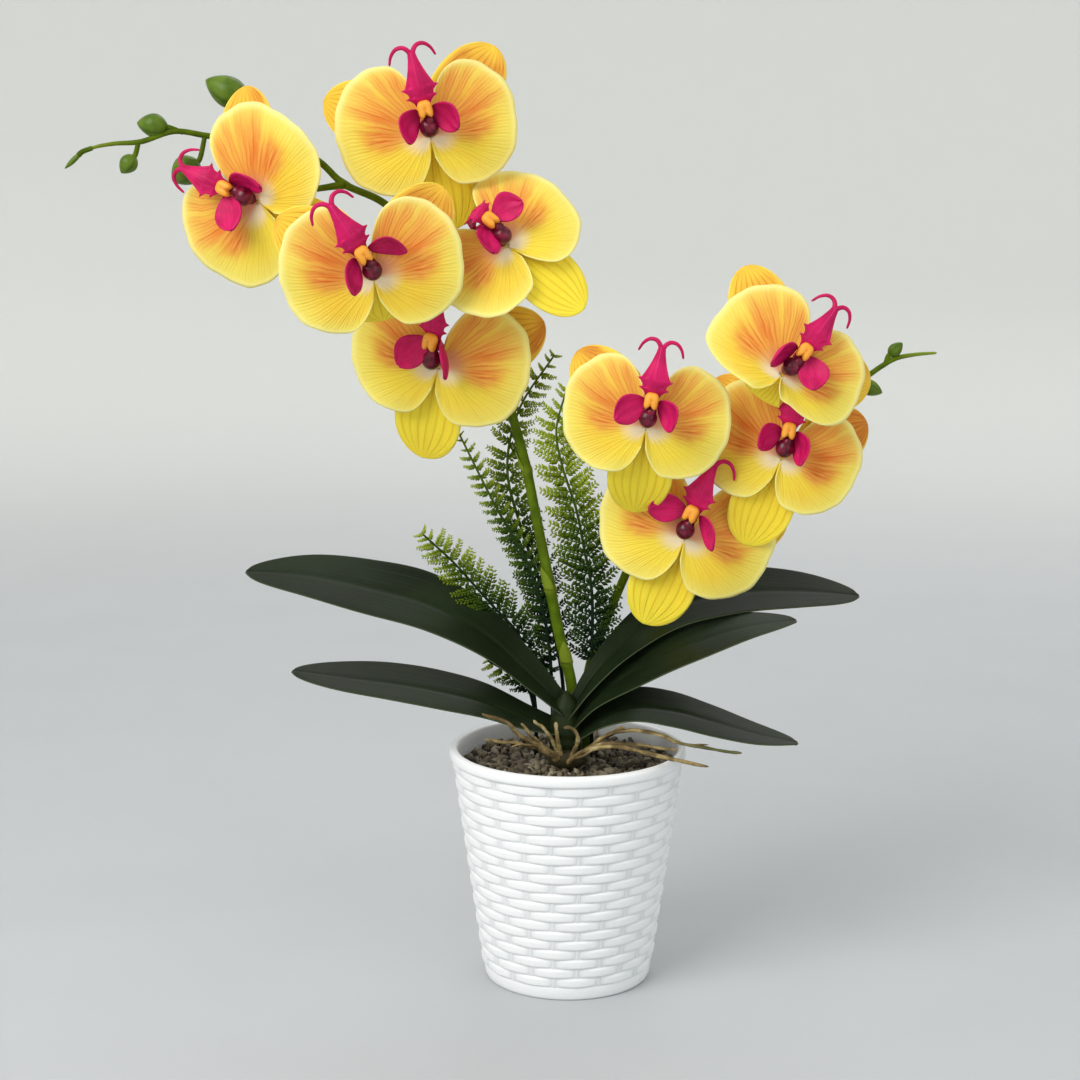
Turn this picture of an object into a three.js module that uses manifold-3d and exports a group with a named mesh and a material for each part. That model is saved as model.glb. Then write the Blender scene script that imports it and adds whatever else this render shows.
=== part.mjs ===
// A potted moth orchid: a woven-pattern plastic pot with filler and grit, a short leafy crown with
// strap leaves and wandering roots, two arching flower stems with buds, nine blooms, and fern sprays.
// Millimetres, +Z up. The origin is the centre of the pot's foot, +X is right and -Y is the front.
import * as THREE from "three";
import { mergeVertices } from "three/addons/utils/BufferGeometryUtils.js";
import Module from "manifold-3d";

const wasm = await Module();
wasm.setup();

// ---- driving dimensions -------------------------------------------------------------------------
const GAP = 0.3; // clearance between pieces that touch
const SWELL = 0.45; // shift that opens at least that clearance on any slope

const POT = {
  height: 120, footRadius: 42, topRadius: 58.7, wall: 2.7, floor: 3,
  footBand: 7, rimFrom: 114.2, rimRadius: 59.9, rimInner: 55.8,
  rows: 21, stakes: 12, firstStake: -8.7, strapBulge: 1.1,
};
const FILLER_TOP = 98; // the block of filler under the grit
const GRIT_TOP = 111.5; // mean height of the grit
const GRIT_RELIEF = 1.6;

const CROWN = { x: -1, y: -4, foot: 100, top: 149, radius: 8.6 };

const PETAL_THICK = 0.9;
const SEPAL_LENGTH = 49;
const SEPAL_HALF = 16;
const LEAF_THICK = 1.7;
const FERN_THICK = 0.9;

// Outline of the right-hand petal: distance from the bloom's centre, in mm, at each angle above the
// bloom's own +X. The left-hand petal is its mirror image.
const PETAL_OUTLINE = [
  [-80, 10], [-72, 17.2], [-67, 23.3], [-53, 28.6], [-37, 33.9], [-20, 38.3], [-3, 40],
  [16, 41.6], [33, 42.7], [47, 41], [61, 38.4], [72, 33.5], [77, 28.7], [84, 16],
];

// Each bloom: centre, facing (yaw to the right, pitch up, roll clockwise, degrees), size; turn and
// backward fold of the left and right petal, their size and how much their lower part is tucked in;
// turn, length factor and backward bend of the bottom, upper left and upper right sepal; facing of
// the lip; x and y of the tip of its left and right side lobe, how steeply the lobe stands (degrees)
// and how far it bulges outwards; and, where the lip's point is bent back, by how many degrees.
const BLOOMS = {
  a1: { at: [-149, -10, 392.5], face: [-22, -11, -58], size: 1.01,
        petals: [[-1, -6, 1.11], [1, -6, 1.1]],
        sepals: [[0, 1, 8], [0, 1, 8], [-10, 1.08, 8]], lip: [-24, 6, -68],
        lobes: [[-15.5, -1, 5, 0], [8.5, -7, 60, 1.5]] },
  a2: { at: [-66.5, -8, 423.5], face: [3, -2, -13], size: 1.03,
        petals: [[2, -1, 1.07], [9, 1, 1.01]],
        sepals: [[-1, 0.92, 8], [-1, 1.07, 8], [-8, 1.04, 8]], lip: [7, -4, -14],
        lobes: [[-11, 0, 42, 2.5], [12.6, 1.4, 36, 1]] },
  a3: { at: [-91.5, -42, 358], face: [5, -10, -10], size: 1.05,
        petals: [[3, -5, 1.02], [2, -6, 1.01]],
        sepals: [[0, 0.5, 22], [6, 1, 8], [-7, 1, 8]], lip: [17, -3, -34],
        lobes: [[-13.5, 1.5, 44, 0.8], [16.5, 4, 54, 2.5]] },
  a4: { at: [-30, -18, 371], face: [5, 28, -53], size: 0.98,
        petals: [[-4, 1, 0.98], [9, 2, 1.07]],
        sepals: [[-2, 0.95, 8], [0, 1, 10], [0, 1, 10]], lip: [15, 26, -48],
        lobes: [[-14.5, 1.5, 30, 0.5], [17, 6.5, 8, 1.5]], curl: 95 },
  a5: { at: [-64, 2, 312], face: [-15, -8, 13], size: 1.1,
        petals: [[-4, -3, 1.04], [3, 1, 1.01]],
        sepals: [[5, 1, 8], [0, 1, 8], [-2, 1, 8]], lip: [-26, -3, 14],
        lobes: [[-12, -1, 8, 1], [12, 0, 62, 0.5]] },
  b1: { at: [37.3, -32, 286.5], face: [-1, -4, 9], size: 0.99,
        petals: [[-6, 6, 1.02], [3, 0, 0.99]],
        sepals: [[-3, 0.98, 18], [4, 0.97, 12], [0, 0.85, 3]], lip: [-3, 3, 11],
        lobes: [[-15, 1, 20, 0.5], [12, 1, 46, 2.5]] },
  b2: { at: [101, -38, 311.5], face: [5, 0, 35], size: 0.98,
        petals: [[5, 5, 1.06, 0.42], [-7, -5, 0.95, 0.5]],
        sepals: [[0, 0.3, 20], [7, 1.1, 12], [4, 0.96, 8]], lip: [11, 10, 38],
        lobes: [[-10, -2.5, 58, 1.5], [14, 0.5, 15, 1]] },
  b3: { at: [104, -16, 269.5], face: [-3, -1, 16], size: 0.99,
        petals: [[-3, 5, 1.05], [12, 0, 0.93]],
        sepals: [[4, 1, 4], [0, 1, 12], [-4, 0.92, 10]], lip: [-3, 8, 12],
        lobes: [[-12.5, 2, 38, 1.5], [9, -2, 56, 2]] },
  b4: { at: [58.3, -2, 227.5], face: [-5, 1, 21], size: 1.05,
        petals: [[-10, 0, 1.04], [2, 3, 1.02]],
        sepals: [[3, 0.98, 2], [0, 1, 8], [0, 1, 8]], lip: [-17, 6, 24],
        lobes: [[-18.5, 6, 22, 1], [17, 3, 50, 1.5]] },
};

// Flower stems: points of the middle line, radius at foot and tip, and for each bloom on it the
// place along the stem (0 foot, 1 tip) where its stalk starts and, for a curved stalk, a point on it.
const STEMS = {
  a: {
    points: [[3, 12, 99.2], [2, 12, 147], [-4, 12, 173], [-12, 13, 214], [-17, 14, 239], [-21, 15, 259],
             [-27, 16, 282], [-36, 18, 312], [-49, 19, 344], [-69, 18, 371], [-92, 14, 392],
             [-111, 13, 401], [-125, 14, 413], [-156, 14, 421], [-177, 10, 424], [-192, 5, 426],
             [-208, 2, 421], [-221, 0, 420], [-231, -1, 418], [-239, -2, 414]],
    radii: [3.1, 1.2],
    stalks: [["a5", 0.42], ["a4", 0.47], ["a3", 0.56], ["a2", 0.6], ["a1", 0.71]],
  },
  b: {
    points: [[9, 20.4, 99.2], [9, 21, 140], [12, 25, 158], [19, 27, 177], [30, 28, 204], [42, 28, 232],
             [60, 26, 266], [86, 18, 290], [115, 9, 301], [137, 4, 304], [145, 4, 306], [154, 4, 312],
             [161, 4, 316], [170, 3, 318], [181, 2, 319]],
    radii: [2.7, 1.2],
    stalks: [["b4", 0.44], ["b1", 0.58], ["b3", 0.68], ["b2", 0.8, [114, -16, 326]]],
  },
};
// Buds: stem, base, tip, thickness, and the point of the stem where the bud's stalk starts.
const BUDS = [
  ["a", [-157, 16, 440], [-178, 16, 451], 15.5, [-156, 14, 421]],
  ["a", [-195, 5, 428], [-210, 4, 430], 11.5, [-188, 6, 425.4]],
  ["a", [-211, 2, 414.5], [-218, 2, 406], 9, [-209, 2, 421]],
  ["a", [-181, 8, 412], [-194, 7, 402], 15, [-178, 10, 424]],
  ["a", [-236, -2, 416], [-244.5, -2.5, 408], 2.8, [-231, -1, 418]],
  ["b", [143, 4, 304], [155, 4, 299], 8, [137, 4, 304]],
  ["b", [157.6, 4, 317.3], [164.2, 4, 323.8], 6.5, [156, 4, 313]],
];

// Leaves: stations from base to tip as [x, y, z] of the middle, widest half width, tilt of the blade
// about its own length at base, middle and tip (back edge higher, degrees), and channel depth.
const LEAVES = {
  upper_left: { line: [[-2, -6, 143], [-20, -6, 161], [-42, -3, 180], [-71, 3, 194], [-101, 7, 201],
                       [-132, 10, 206], [-163, 12, 207]], half: 25, tilt: [42, 17, 11], channel: 4 },
  lower_left: { line: [[-4, -8, 131], [-20, -9, 137], [-42, -9, 146], [-66, -11, 152], [-89, -13, 156],
                       [-113, -15, 159], [-137, -16, 162]], half: 21.5, tilt: [24, 13, 4], channel: 3 },
  upper_right: { line: [[0, -6, 139], [12, -3, 157], [30, 7, 175], [57, 20, 190], [88, 27, 195],
                        [118, 31, 194.5], [150, 34, 191]], half: 21, tilt: [38, 16, 14], channel: 4 },
  mid_right: { line: [[2, -9, 134], [14, -9, 149], [30, -8, 160], [50, -8, 171], [69, -8, 178],
                      [90, -9, 184], [113, -10, 187]], half: 20, tilt: [36, 10, 2], channel: 3 },
  low_right: { line: [[3, -11, 128], [17, -13, 139], [33, -15, 145], [52, -18, 144], [72, -21, 139],
                      [93, -24, 133], [113, -27, 129]], half: 19.5, tilt: [30, 8, -2], channel: 3 },
};

// Roots: points of the middle line, and radius at the start and the end.
const ROOT_KNOT = { at: [0, -15, 116.6], radii: [10, 4.5, 4.7] };
const ROOTS = [
  [[[-4, -17, 117], [-7, -20, 121], [-14, -23, 126], [-22, -27, 131], [-30, -32, 140],
    [-42, -38, 146]], 1.6, 1],
  [[[-5, -17, 116], [-11, -22, 122], [-19, -28, 127], [-28, -36, 131], [-40, -43, 134]], 1.4, 0.9],
  [[[-5, -17, 118], [-12, -21, 125], [-19, -26, 133], [-23, -28, 139]], 1.5, 0.9],
  [[[-4, -17, 118], [-7, -19, 126], [-10, -21, 132], [-17, -23, 139]], 1.4, 0.9],
  [[[-3, -17, 118], [-5, -20, 128], [-6, -21, 137]], 1.3, 0.9],
  [[[1, -17, 117], [3, -20, 122], [5, -23, 129], [3, -26, 135], [-2, -30, 137]], 1.5, 0.9],
  [[[0, -17, 115], [2, -23, 119], [7, -28, 124], [15, -30, 127], [25, -33, 128], [39, -40, 127],
    [51, -46, 125.5], [68, -54, 124.5]], 1.6, 1],
  [[[3, -17, 117], [9, -20, 123], [19, -23, 127], [35, -29, 128], [54, -37, 127.5]], 1.5, 0.9],
  [[[5, -16, 118], [14, -18, 126], [22, -22, 132], [28, -28, 137]], 1.4, 0.9],
  [[[5, -16, 117], [18, -21, 130], [30, -27, 135], [46, -32, 134], [55, -35, 131], [67, -38, 129],
    [85, -42, 128]], 1.3, 0.9],
];

// Fern sprays: points of the midrib from foot to tip, longest leaflet, and number of leaflet pairs.
const FERNS = {
  left_tall: [[[-8, 16.6, 99.2], [-8, 16, 140], [-11, 14, 178], [-20, 13, 210], [-28, 13, 225],
               [-38, 14, 243], [-55, 16, 277]], 7.5, 9],
  back_tall: [[[-2, 24, 99.2], [-3, 23, 150], [-12, 22, 192], [-24, 22, 228], [-31, 24, 258],
               [-25, 26, 288], [-7, 26, 316]], 11, 10],
  middle: [[[12.4, 16.8, 99.2], [12, 16, 150], [12, 12, 197], [8, 9, 220], [4, 7, 240], [-3, 5, 262],
            [-6, 3, 280], [-1, 1, 301]], 14, 10],
  left_low: [[[-16.4, 13.7, 99.2], [-17, 14, 140], [-24, 13, 172], [-38, 9, 190], [-47, 6, 201],
              [-57, 3, 213], [-73, -1, 229]], 12.5, 8],
};

// ---- finishes -----------------------------------------------------------------------------------
const finish = (color, roughness, metalness = 0) =>
  new THREE.MeshStandardMaterial({ color, roughness, metalness });
const FINISH = {
  pot: finish("#eceae4", 0.42),
  filler: finish("#6b5a45", 0.95),
  grit: finish("#7a6a55", 0.92),
  leaf: finish("#2c3a22", 0.38),
  crown: finish("#46532a", 0.5),
  stem: finish("#5d6f22", 0.5),
  root: finish("#b39a5c", 0.7),
  fern: finish("#4d6a2c", 0.6),
  tepal: finish("#f0cf55", 0.6),
  lip: finish("#b81a55", 0.5),
  column: finish("#4a0c22", 0.3),
  callus: finish("#eb9c25", 0.5),
};

// ---- solids -------------------------------------------------------------------------------------
const rad = THREE.MathUtils.degToRad;
const vec = (p) => new THREE.Vector3(...p);

// Repeatable random numbers.
function randomFrom(seed) {
  let state = seed;
  return () => {
    state = (state * 1664525 + 1013904223) % 4294967296;
    return state / 4294967296;
  };
}

// A closed geometry as a solid whose faces point out.
function solid(geometry) {
  const bare = geometry.clone();
  bare.deleteAttribute("normal");
  bare.deleteAttribute("uv");
  const merged = mergeVertices(bare, 1e-4);
  const mesh = (triVerts) =>
    new wasm.Manifold(
      new wasm.Mesh({ numProp: 3, vertProperties: merged.attributes.position.array, triVerts }),
    );
  const triangles = new Uint32Array(merged.index.array);
  const made = mesh(triangles);
  return made.volume() >= 0 ? made : mesh(triangles.reverse());
}

const join = (pieces) => pieces.reduce((whole, piece) => whole.add(piece));

const ALL_ROUND = [[1, 0, 0], [-1, 0, 0], [0, 1, 0], [0, -1, 0], [0, 0, 1], [0, 0, -1]];

// The solid, thickened by shifting it a little along each of the directions.
function swollen(piece, directions) {
  return join(directions.map((way) => piece.translate(way.map((step) => SWELL * step))));
}

// The part of a neighbour that lies in the piece's own box, or null where the two are far apart.
function nearbyPart(piece, neighbour) {
  const { min, max } = piece.boundingBox();
  const size = max.map((high, i) => high - min[i] + 4 * SWELL);
  const centre = max.map((high, i) => (high + min[i]) / 2);
  const box = solid(new THREE.BoxGeometry(...size).translate(...centre));
  const part = neighbour.intersect(box);
  return part.isEmpty() ? null : part;
}

// The piece with room cut in it for its neighbours; scraps that this cuts off are dropped.
function clearOf(piece, neighbours, directions = ALL_ROUND) {
  let rest = piece;
  for (const neighbour of neighbours) {
    const near = nearbyPart(rest, neighbour);
    if (!near) continue;
    const cutter = swollen(near, directions);
    if (rest.intersect(cutter).isEmpty()) continue;
    rest = rest.subtract(cutter);
  }
  return rest.decompose().reduce((a, b) => (a.volume() > b.volume() ? a : b));
}

// A grid of points closed into a geometry: rows of equal length, with wrap joining each row's ends.
function gridFaces(rows, columns, wrap) {
  const faces = [];
  const last = wrap ? columns : columns - 1;
  for (let i = 0; i < rows - 1; i++)
    for (let j = 0; j < last; j++) {
      const a = i * columns + j;
      const b = i * columns + ((j + 1) % columns);
      faces.push(a, b, b + columns, a, b + columns, a + columns);
    }
  return faces;
}

function geometryOf(points, faces) {
  const geometry = new THREE.BufferGeometry();
  geometry.setAttribute("position", new THREE.Float32BufferAttribute(points.flat(), 3));
  geometry.setIndex(faces);
  return geometry;
}

// A curved blade: surface(u, v) is its middle, thickened along its own normal, with a closed rim.
function blade(surface, across, along, thickness) {
  const front = [];
  const back = [];
  const step = 1e-3;
  for (let i = 0; i <= along; i++)
    for (let j = 0; j <= across; j++) {
      const u = j / across;
      const v = i / along;
      const inU = u < 0.5 ? step : -step;
      const inV = v < 0.5 ? step : -step;
      const p = surface(u, v);
      const du = surface(u + inU, v).sub(p).divideScalar(inU);
      const dv = surface(u, v + inV).sub(p).divideScalar(inV);
      const normal = du.cross(dv).normalize().multiplyScalar(thickness / 2);
      front.push(p.clone().add(normal).toArray());
      back.push(p.clone().sub(normal).toArray());
    }
  const columns = across + 1;
  const half = gridFaces(along + 1, columns, false);
  const count = front.length;
  const rim = [];
  for (let j = 0; j <= across; j++) rim.push(j);
  for (let i = 1; i <= along; i++) rim.push(i * columns + across);
  for (let j = across - 1; j >= 0; j--) rim.push(along * columns + j);
  for (let i = along - 1; i > 0; i--) rim.push(i * columns);
  const faces = [...half];
  for (let i = 0; i < half.length; i += 3)
    faces.push(half[i] + count, half[i + 2] + count, half[i + 1] + count);
  rim.forEach((a, k) => {
    const b = rim[(k + 1) % rim.length];
    faces.push(a, b + count, b, a, a + count, b + count);
  });
  return geometryOf([...front, ...back], faces);
}

// A round rod along a smooth curve, its radius going from the first value to the second.
function rod(points, from, to, sides, steps) {
  const curve = new THREE.CatmullRomCurve3(points.map(vec), false, "centripetal");
  const frames = curve.computeFrenetFrames(steps, false);
  const ring = [];
  for (let i = 0; i <= steps; i++) {
    const t = i / steps;
    const radius = from + (to - from) * t;
    const centre = curve.getPointAt(t);
    for (let j = 0; j < sides; j++) {
      const angle = (2 * Math.PI * j) / sides;
      const side = frames.normals[i].clone().multiplyScalar(radius * Math.cos(angle));
      side.addScaledVector(frames.binormals[i], radius * Math.sin(angle));
      ring.push(centre.clone().add(side).toArray());
    }
  }
  const faces = gridFaces(steps + 1, sides, true);
  const end = steps * sides;
  for (let j = 1; j < sides - 1; j++) faces.push(0, j + 1, j, end, end + j, end + j + 1);
  return solid(geometryOf(ring, faces));
}

function ball(centre, radii, wide, high) {
  const geometry = new THREE.SphereGeometry(1, wide, high);
  return solid(geometry.scale(...radii).translate(...centre));
}

// A rounded body of revolution that points from base to tip, like a bud.
function budShape(base, tip, thickness) {
  const length = vec(tip).distanceTo(vec(base));
  const profile = [[0, 0], [0.75, 0.18], [1, 0.48], [0.72, 0.8], [0, 1]];
  const outline = profile.map(([r, h]) => new THREE.Vector2((r * thickness) / 2, h * length));
  const geometry = new THREE.LatheGeometry(outline, 6);
  const turn = new THREE.Quaternion().setFromUnitVectors(
    new THREE.Vector3(0, 1, 0), vec(tip).sub(vec(base)).normalize());
  return solid(geometry.applyQuaternion(turn).translate(...base));
}

// ---- pot, filler and grit -----------------------------------------------------------------------
const potCone = (z) => POT.footRadius + ((POT.topRadius - POT.footRadius) * z) / POT.height;

// Woven wall: in each row the straps bow outwards between stakes, and the stakes of the next row sit
// half a strap further on.
function makePot() {
  const columns = 2 * POT.stakes;
  const pitch = (POT.rimFrom - POT.footBand) / POT.rows;
  const rings = [[0, () => POT.footRadius - 0.8], [1, () => POT.footRadius + 0.2],
                 [POT.footBand, () => potCone(POT.footBand)]];
  for (let row = 0; row < POT.rows; row++) {
    const middle = POT.footBand + pitch * (row + 0.5);
    const isStake = (j) => (j + POT.rows - 1 - row) % 2 === 0;
    rings.push([middle, (j) => potCone(middle) + (isStake(j) ? 0 : POT.strapBulge)]);
  }
  const inner = (z) => potCone(z) - POT.wall;
  rings.push([POT.rimFrom, () => potCone(POT.rimFrom)]);
  rings.push([POT.rimFrom + 0.9, () => POT.rimRadius], [POT.height - 1, () => POT.rimRadius]);
  rings.push([POT.height, () => POT.rimRadius - 1.1], [POT.height, () => POT.rimInner]);
  rings.push([GRIT_TOP, () => inner(GRIT_TOP)], [POT.floor, () => inner(POT.floor)]);
  const points = [];
  for (const [z, radius] of rings)
    for (let j = 0; j < columns; j++) {
      const angle = rad(POT.firstStake + (360 * j) / columns);
      points.push([radius(j) * Math.sin(angle), -radius(j) * Math.cos(angle), z]);
    }
  const faces = gridFaces(rings.length, columns, true);
  const under = points.push([0, 0, 0]) - 1;
  const inside = points.push([0, 0, POT.floor]) - 1;
  const lastRing = (rings.length - 1) * columns;
  for (let j = 0; j < columns; j++) {
    const k = (j + 1) % columns;
    faces.push(under, k, j, inside, lastRing + j, lastRing + k);
  }
  return solid(geometryOf(points, faces));
}

function makeFiller() {
  const side = (z) => potCone(z) - POT.wall - GAP - 0.5;
  const foot = POT.floor + GAP;
  const profile = [[0, foot], [side(foot), foot], [side(FILLER_TOP), FILLER_TOP], [0, FILLER_TOP]];
  const geometry = new THREE.LatheGeometry(profile.map(([r, z]) => new THREE.Vector2(r, z)), 16);
  return solid(geometry.rotateX(Math.PI / 2));
}

// The bed of grit: its top is uneven, with seeded bumps.
function makeGrit() {
  const random = randomFrom(7);
  const columns = 18;
  const radii = [22, 31, 40, 48, potCone(GRIT_TOP) - POT.wall - GAP - 0.7];
  const foot = FILLER_TOP + GAP;
  const points = [];
  const ring = (radius, height) => {
    for (let j = 0; j < columns; j++) {
      const angle = (2 * Math.PI * (j + 0.5 * random() * (radius < radii.at(-1) - 1))) / columns;
      points.push([radius * Math.sin(angle), -radius * Math.cos(angle), height()]);
    }
  };
  ring(potCone(foot) - POT.wall - GAP - 0.9, () => foot);
  for (const radius of [...radii].reverse())
    ring(radius, () => GRIT_TOP + (radius > radii[0] ? GRIT_RELIEF * (2 * random() - 1) : 0));
  const faces = gridFaces(radii.length + 1, columns, true);
  const under = points.push([0, 0, foot]) - 1;
  const top = points.push([0, 0, GRIT_TOP]) - 1;
  const last = radii.length * columns;
  for (let j = 0; j < columns; j++) {
    const k = (j + 1) % columns;
    faces.push(under, k, j, top, last + j, last + k);
  }
  return solid(geometryOf(points, faces));
}

// A plain round hole in the grit for whatever stands in it.
function makeHole([x, y], radius, sides) {
  const depth = GRIT_TOP - FILLER_TOP + 6;
  const geometry = new THREE.CylinderGeometry(radius, radius, depth, sides).rotateX(Math.PI / 2);
  return solid(geometry.translate(x, y, FILLER_TOP + depth / 2 + 0.8));
}

// ---- crown, leaves and roots --------------------------------------------------------------------
function makeCrown() {
  const { x, y, foot, top, radius } = CROWN;
  const profile = [[0, foot], [0.75, foot], [1, foot + 20], [0.95, foot + 32], [0.7, foot + 42],
                   [0, top]];
  const outline = profile.map(([r, z]) => new THREE.Vector2(r * radius, z));
  const geometry = new THREE.LatheGeometry(outline, 9).rotateX(Math.PI / 2);
  return solid(geometry.translate(x, y, 0));
}

// Share of a leaf's full width along it: narrow and folded at the base, round at the tip.
function leafWidth(u) {
  const widest = 0.66;
  if (u < widest) return 0.3 + 0.7 * Math.sin((Math.PI / 2) * (u / widest));
  return Math.sqrt(Math.max(0.004, 1 - ((u - widest) / (1 - widest)) ** 2.3));
}

function makeLeaf({ line, half, tilt, channel }) {
  const curve = new THREE.CatmullRomCurve3(line.map(vec), false, "centripetal");
  const tilts = new THREE.CatmullRomCurve3(tilt.map((t, i) => new THREE.Vector3(i, t, 0)));
  const surface = (u, v) => {
    const along = 1 - (1 - v) ** 1.35;
    const side = 2 * u - 1;
    const lean = rad(tilts.getPoint(Math.min(1, Math.max(0, along))).y);
    const reach = side * half * leafWidth(along);
    const dip = channel * (1 - Math.abs(side) ** 1.5) * (1.15 - along);
    const p = curve.getPointAt(Math.min(1, Math.max(0, along)));
    p.y += reach * Math.cos(lean) + dip * Math.sin(lean);
    p.z += reach * Math.sin(lean) - dip * Math.cos(lean);
    return p;
  };
  return solid(blade(surface, 4, 7, LEAF_THICK));
}

function makeRoots() {
  const knot = ball(ROOT_KNOT.at, ROOT_KNOT.radii, 7, 4);
  const runs = ROOTS.map(([points, from, to]) => rod(points, from, to, 4, points.length - 1));
  return join([knot, ...runs]);
}

// ---- blooms -------------------------------------------------------------------------------------
// The bloom's own frame has +X right, +Y towards the lip's tip and +Z out of its face.
function bloomFrame(at, [yaw, pitch, roll], size) {
  const frame = new THREE.Matrix4().makeTranslation(...at);
  frame.multiply(new THREE.Matrix4().makeRotationX(Math.PI / 2));
  frame.multiply(new THREE.Matrix4().makeRotationY(rad(yaw)));
  frame.multiply(new THREE.Matrix4().makeRotationX(rad(-pitch)));
  frame.multiply(new THREE.Matrix4().makeRotationZ(rad(-roll)));
  return frame.scale(new THREE.Vector3(size, size, size));
}

function petalReach(degrees) {
  const next = Math.max(1, PETAL_OUTLINE.findIndex(([angle]) => angle >= degrees));
  const [a, ra] = PETAL_OUTLINE[next - 1];
  const [b, rb] = PETAL_OUTLINE[next];
  return THREE.MathUtils.lerp(ra, rb, (degrees - a) / (b - a));
}

// A petal fans out from the centre; its rim sweeps back and waves a little.
function makePetal(side, [turn, fold, size, tuck = 0]) {
  const [first, last] = [PETAL_OUTLINE[0][0], PETAL_OUTLINE.at(-1)[0]];
  const surface = (u, v) => {
    const degrees = THREE.MathUtils.clamp(first + (last - first) * u, first, last - 1e-3);
    const tucked = 1 - tuck * THREE.MathUtils.clamp((-15 - degrees) / 30, 0, 1);
    const reach = petalReach(degrees) * size * tucked * (0.12 + 0.88 * v);
    const z = 1.5 + 3 * v - 7 * (reach / 41) ** 2 + 0.6 * v * v * Math.sin(5 * rad(degrees) + side);
    return new THREE.Vector3(side * reach * Math.cos(rad(degrees)), reach * Math.sin(rad(degrees)), z);
  };
  const geometry = blade(surface, 7, 2, PETAL_THICK);
  return geometry.applyMatrix4(new THREE.Matrix4().makeRotationY(rad(side * fold)))
    .applyMatrix4(new THREE.Matrix4().makeRotationZ(rad(-turn)));
}

// A sepal is a broad tongue behind the petals, pointing away from the centre at the given angle. It
// is egg-shaped, widest a little past its middle, with a blunt tip.
function makeSepal(angle, [turn, length, bend]) {
  const widest = 0.56;
  const surface = (u, v) => {
    const along = 0.05 + 0.95 * (1 - (1 - v) ** 1.3);
    const past = along < widest ? (widest - along) / 0.62 : (along - widest) / 0.45;
    const shape = Math.sqrt(Math.max(0.04, 1 - past * past));
    const reach = SEPAL_LENGTH * length * along;
    const side = (2 * u - 1) * Math.min(0.8 * reach, SEPAL_HALF * shape);
    const z = -1.6 - along - 5 * along ** 2 - Math.tan(rad(bend)) * reach * along + 0.004 * side ** 2;
    return new THREE.Vector3(side, reach, z);
  };
  const geometry = blade(surface, 2, 3, PETAL_THICK);
  return geometry.applyMatrix4(new THREE.Matrix4().makeRotationZ(rad(angle - turn)));
}

// Petals and sepals grow from one small cup at the back of the bloom.
function makeTepals(bloom) {
  const cup = [[0, -5], [2.6, -5], [5.6, -1.4], [5.4, 3.2], [0, 3.2]];
  const outline = cup.map(([r, z]) => new THREE.Vector2(r, z));
  const base = new THREE.LatheGeometry(outline, 5).rotateX(Math.PI / 2);
  const [bottom, left, right] = bloom.sepals;
  const pieces = [base, makePetal(-1, bloom.petals[0]), makePetal(1, bloom.petals[1]),
                  makeSepal(180, bottom), makeSepal(58, left), makeSepal(-58, right)];
  const frame = bloomFrame(bloom.at, bloom.face, bloom.size);
  return join(pieces.map((piece) => solid(piece.applyMatrix4(frame))));
}

// The middle lobe is an arrowhead with two barbs on each side; its ridge stands a little proud.
// Each row is the place along it, its height and its half width.
const MIDLOBE = [
  [13, 8.2, 3.2], [18.5, 11.4, 6.4], [20.5, 12.4, 5], [23, 13.4, 8], [30, 13.8, 3.8], [39, 12, 1.3],
];

function makeMidlobe(curl) {
  const surface = (u, v) => {
    const place = Math.min(1, Math.max(0, v)) * (MIDLOBE.length - 1);
    const k = Math.min(MIDLOBE.length - 2, Math.floor(place));
    const mix = MIDLOBE[k].map((value, i) => THREE.MathUtils.lerp(value, MIDLOBE[k + 1][i], place - k));
    const side = 2 * u - 1;
    const ridge = 1.1 * (1 - Math.abs(side));
    return vec(bendBack([side * mix[2], mix[0], mix[1] + ridge], curl));
  };
  return blade(surface, 2, MIDLOBE.length - 1, 1.2);
}

// A side lobe is a cupped oval raised like a wing beside the column. It reaches from the throat to
// its tip, bulges outwards, and stands more or less steeply.
function makeSideLobe(side, [x, y, steep, bulge]) {
  const root = new THREE.Vector3(side * 3.4, 13.6, 9);
  const tip = new THREE.Vector3(x, y, 15.5);
  const axis = tip.clone().sub(root).normalize();
  const across = new THREE.Vector3(axis.y, -axis.x, 0).multiplyScalar(-side).normalize();
  const out = new THREE.Vector3(0, 0, Math.cos(rad(steep)));
  out.addScaledVector(across, -Math.sin(rad(steep))).addScaledVector(axis, -out.dot(axis)).normalize();
  const wide = out.clone().cross(axis).normalize();
  const surface = (u, v) => {
    const along = 0.02 + 0.98 * v;
    const hump = Math.sin(Math.PI * Math.min(1, along) ** 1.15) || 0;
    const half = 6.6 * Math.max(0.05, hump) ** 0.62;
    const place = 2 * u - 1;
    return root.clone().addScaledVector(tip.clone().sub(root), along)
      .addScaledVector(wide, place * half).addScaledVector(across, bulge * hump)
      .addScaledVector(out, hump * (1.8 * place * place - 1.2));
  };
  return blade(surface, 2, 3, 1.1);
}

// Bends whatever lies beyond the lip's widest place backwards, out of the face of the bloom.
function bendBack([x, y, z], degrees) {
  const [fromY, fromZ] = [20, 12.4];
  if (y <= fromY) return [x, y, z];
  const [sin, cos] = [Math.sin(rad(degrees)), Math.cos(rad(degrees))];
  const [dy, dz] = [y - fromY, z - fromZ];
  return [x, fromY + dy * cos + dz * sin, fromZ - dy * sin + dz * cos];
}

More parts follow.
